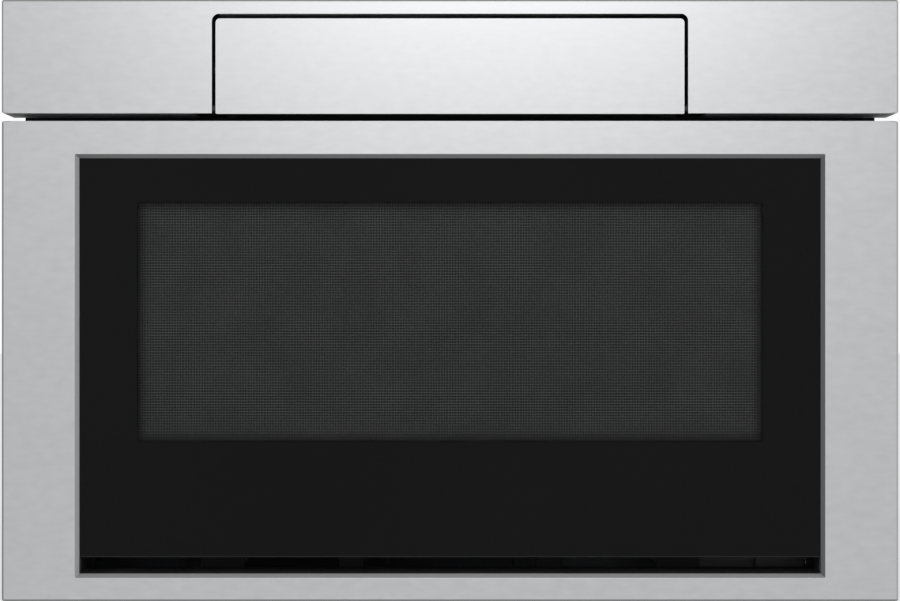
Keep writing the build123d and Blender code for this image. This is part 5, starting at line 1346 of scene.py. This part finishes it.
# ---- Stage
class DRAWER_OT_stage(Operator):
    """Adds the floor, the world, the lamp and the camera"""

    bl_idname = "drawer.stage"
    bl_label = "Stage"

    def execute(self, context):
        self.add_floor()
        self.light_world(context.scene)
        self.add_lamp()
        self.add_camera(context.scene)
        context.scene.view_settings.view_transform = "Standard"
        return {"FINISHED"}

    def add_floor(self):
        """A wide pale floor, which looks paler to the camera and white in reflections."""
        clear_selection()
        bpy.ops.mesh.primitive_plane_add(size=12.0, location=(0.0, 0.0, CAD_LOW[2] - 0.0005))
        floor = bpy.context.object
        floor.name = "studio_floor"
        material = speckled("studio_floor", finishes().floor_white, 0.97, 60.0, 3.0, 0.02, Roughness=0.7)
        tree = material.node_tree
        shader = tree.nodes["Principled BSDF"]
        white = add(tree, "Emission", {"Color": WHITE, "Strength": 1.0})
        rays = add(tree, "LightPath")
        pale = maths(tree, "MULTIPLY", rays.outputs["Is Camera Ray"], 0.45)
        share = maths(tree, "MAXIMUM", rays.outputs["Is Glossy Ray"], pale)
        mixed = add(tree, "MixShader", {0: share, 1: shader.outputs[0], 2: white.outputs[0]})
        tree.links.new(mixed.outputs[0], tree.nodes["Material Output"].inputs["Surface"])
        paint(floor, material)

    def light_world(self, scene):
        """White for what sees the world, and plain soft light for the rest."""
        world = bpy.data.worlds.new("studio")
        world.use_nodes = True
        scene.world = world
        tree = world.node_tree
        tree.nodes.clear()
        rays = add(tree, "LightPath")
        seen = maths(tree, "MAXIMUM", rays.outputs["Is Camera Ray"], rays.outputs["Is Glossy Ray"])
        seen = maths(tree, "MAXIMUM", seen, rays.outputs["Is Transmission Ray"])
        soft = add(tree, "Background", {"Color": WHITE, "Strength": finishes().white_share})
        white = add(tree, "Background", {"Color": WHITE, "Strength": 1.0})
        mixed = add(tree, "MixShader", {0: seen, 1: soft.outputs[0], 2: white.outputs[0]})
        add(tree, "OutputWorld", {"Surface": mixed.outputs[0]})

    def add_lamp(self):
        """One soft lamp above the camera."""
        clear_selection()
        front_y = CAD_LOW[1]
        place = Vector((0.05, front_y - 1.6, 0.95))
        aim = Vector((0.0, front_y, sizes().camera_height))
        turn = (aim - place).to_track_quat("-Z", "Y").to_euler()
        bpy.ops.object.light_add(type="AREA", location=place, rotation=turn)
        lamp = bpy.context.object
        lamp.name = "overhead_lamp"
        lamp.data.shape = "RECTANGLE"
        lamp.data.size = 0.9
        lamp.data.size_y = 0.5
        lamp.data.energy = finishes().lamp_power

    def add_camera(self, scene):
        """The camera, level with the middle of the front."""
        clear_selection()
        distance = sizes().camera_distance
        place = (0.0, CAD_LOW[1] - distance, sizes().camera_height)
        bpy.ops.object.camera_add(location=place, rotation=(math.pi / 2, 0.0, 0.0))
        camera = bpy.context.object
        camera.name = "front_camera"
        camera.data.sensor_width = 36.0
        camera.data.lens = camera.data.sensor_width * distance / sizes().view_width
        scene.camera = camera


class DRAWER_PT_pieces(Panel):
    """Pieces of the microwave drawer, in the order in which they are made"""

    bl_label = "Microwave drawer"
    bl_idname = "DRAWER_PT_pieces"
    bl_space_type = "VIEW_3D"
    bl_region_type = "UI"
    bl_category = "Drawer"

    def draw(self, context):
        for operator in STEPS:
            self.layout.operator(operator.bl_idname)


STEPS = (
    DRAWER_OT_works,
    DRAWER_OT_door_frame,
    DRAWER_OT_door_glass,
    DRAWER_OT_screen,
    DRAWER_OT_fascia,
    DRAWER_OT_flap_face,
    DRAWER_OT_touch_panel,
    DRAWER_OT_flap_box,
    DRAWER_OT_drawer_box,
    DRAWER_OT_runners,
    DRAWER_OT_oven,
    DRAWER_OT_electrics,
    DRAWER_OT_chassis,
    DRAWER_OT_screws,
    DRAWER_OT_stage,
)
CLASSES = (DrawerSizes, DrawerFinishes, *STEPS, DRAWER_PT_pieces)


def register():
    """Adds the add-on's classes and settings."""
    for item in CLASSES:
        bpy.utils.register_class(item)
    bpy.types.Scene.drawer_sizes = PointerProperty(type=DrawerSizes)
    bpy.types.Scene.drawer_finishes = PointerProperty(type=DrawerFinishes)


def unregister():
    """Takes the add-on's classes and settings away."""
    del bpy.types.Scene.drawer_finishes
    del bpy.types.Scene.drawer_sizes
    for item in reversed(CLASSES):
        bpy.utils.unregister_class(item)


def main():
    """Builds the drawer."""
    register()
    for step in STEPS:
        family, name = step.bl_idname.split(".")
        getattr(getattr(bpy.ops, family), name)()
    clear_selection()


if __name__ == "__main__":
    main()
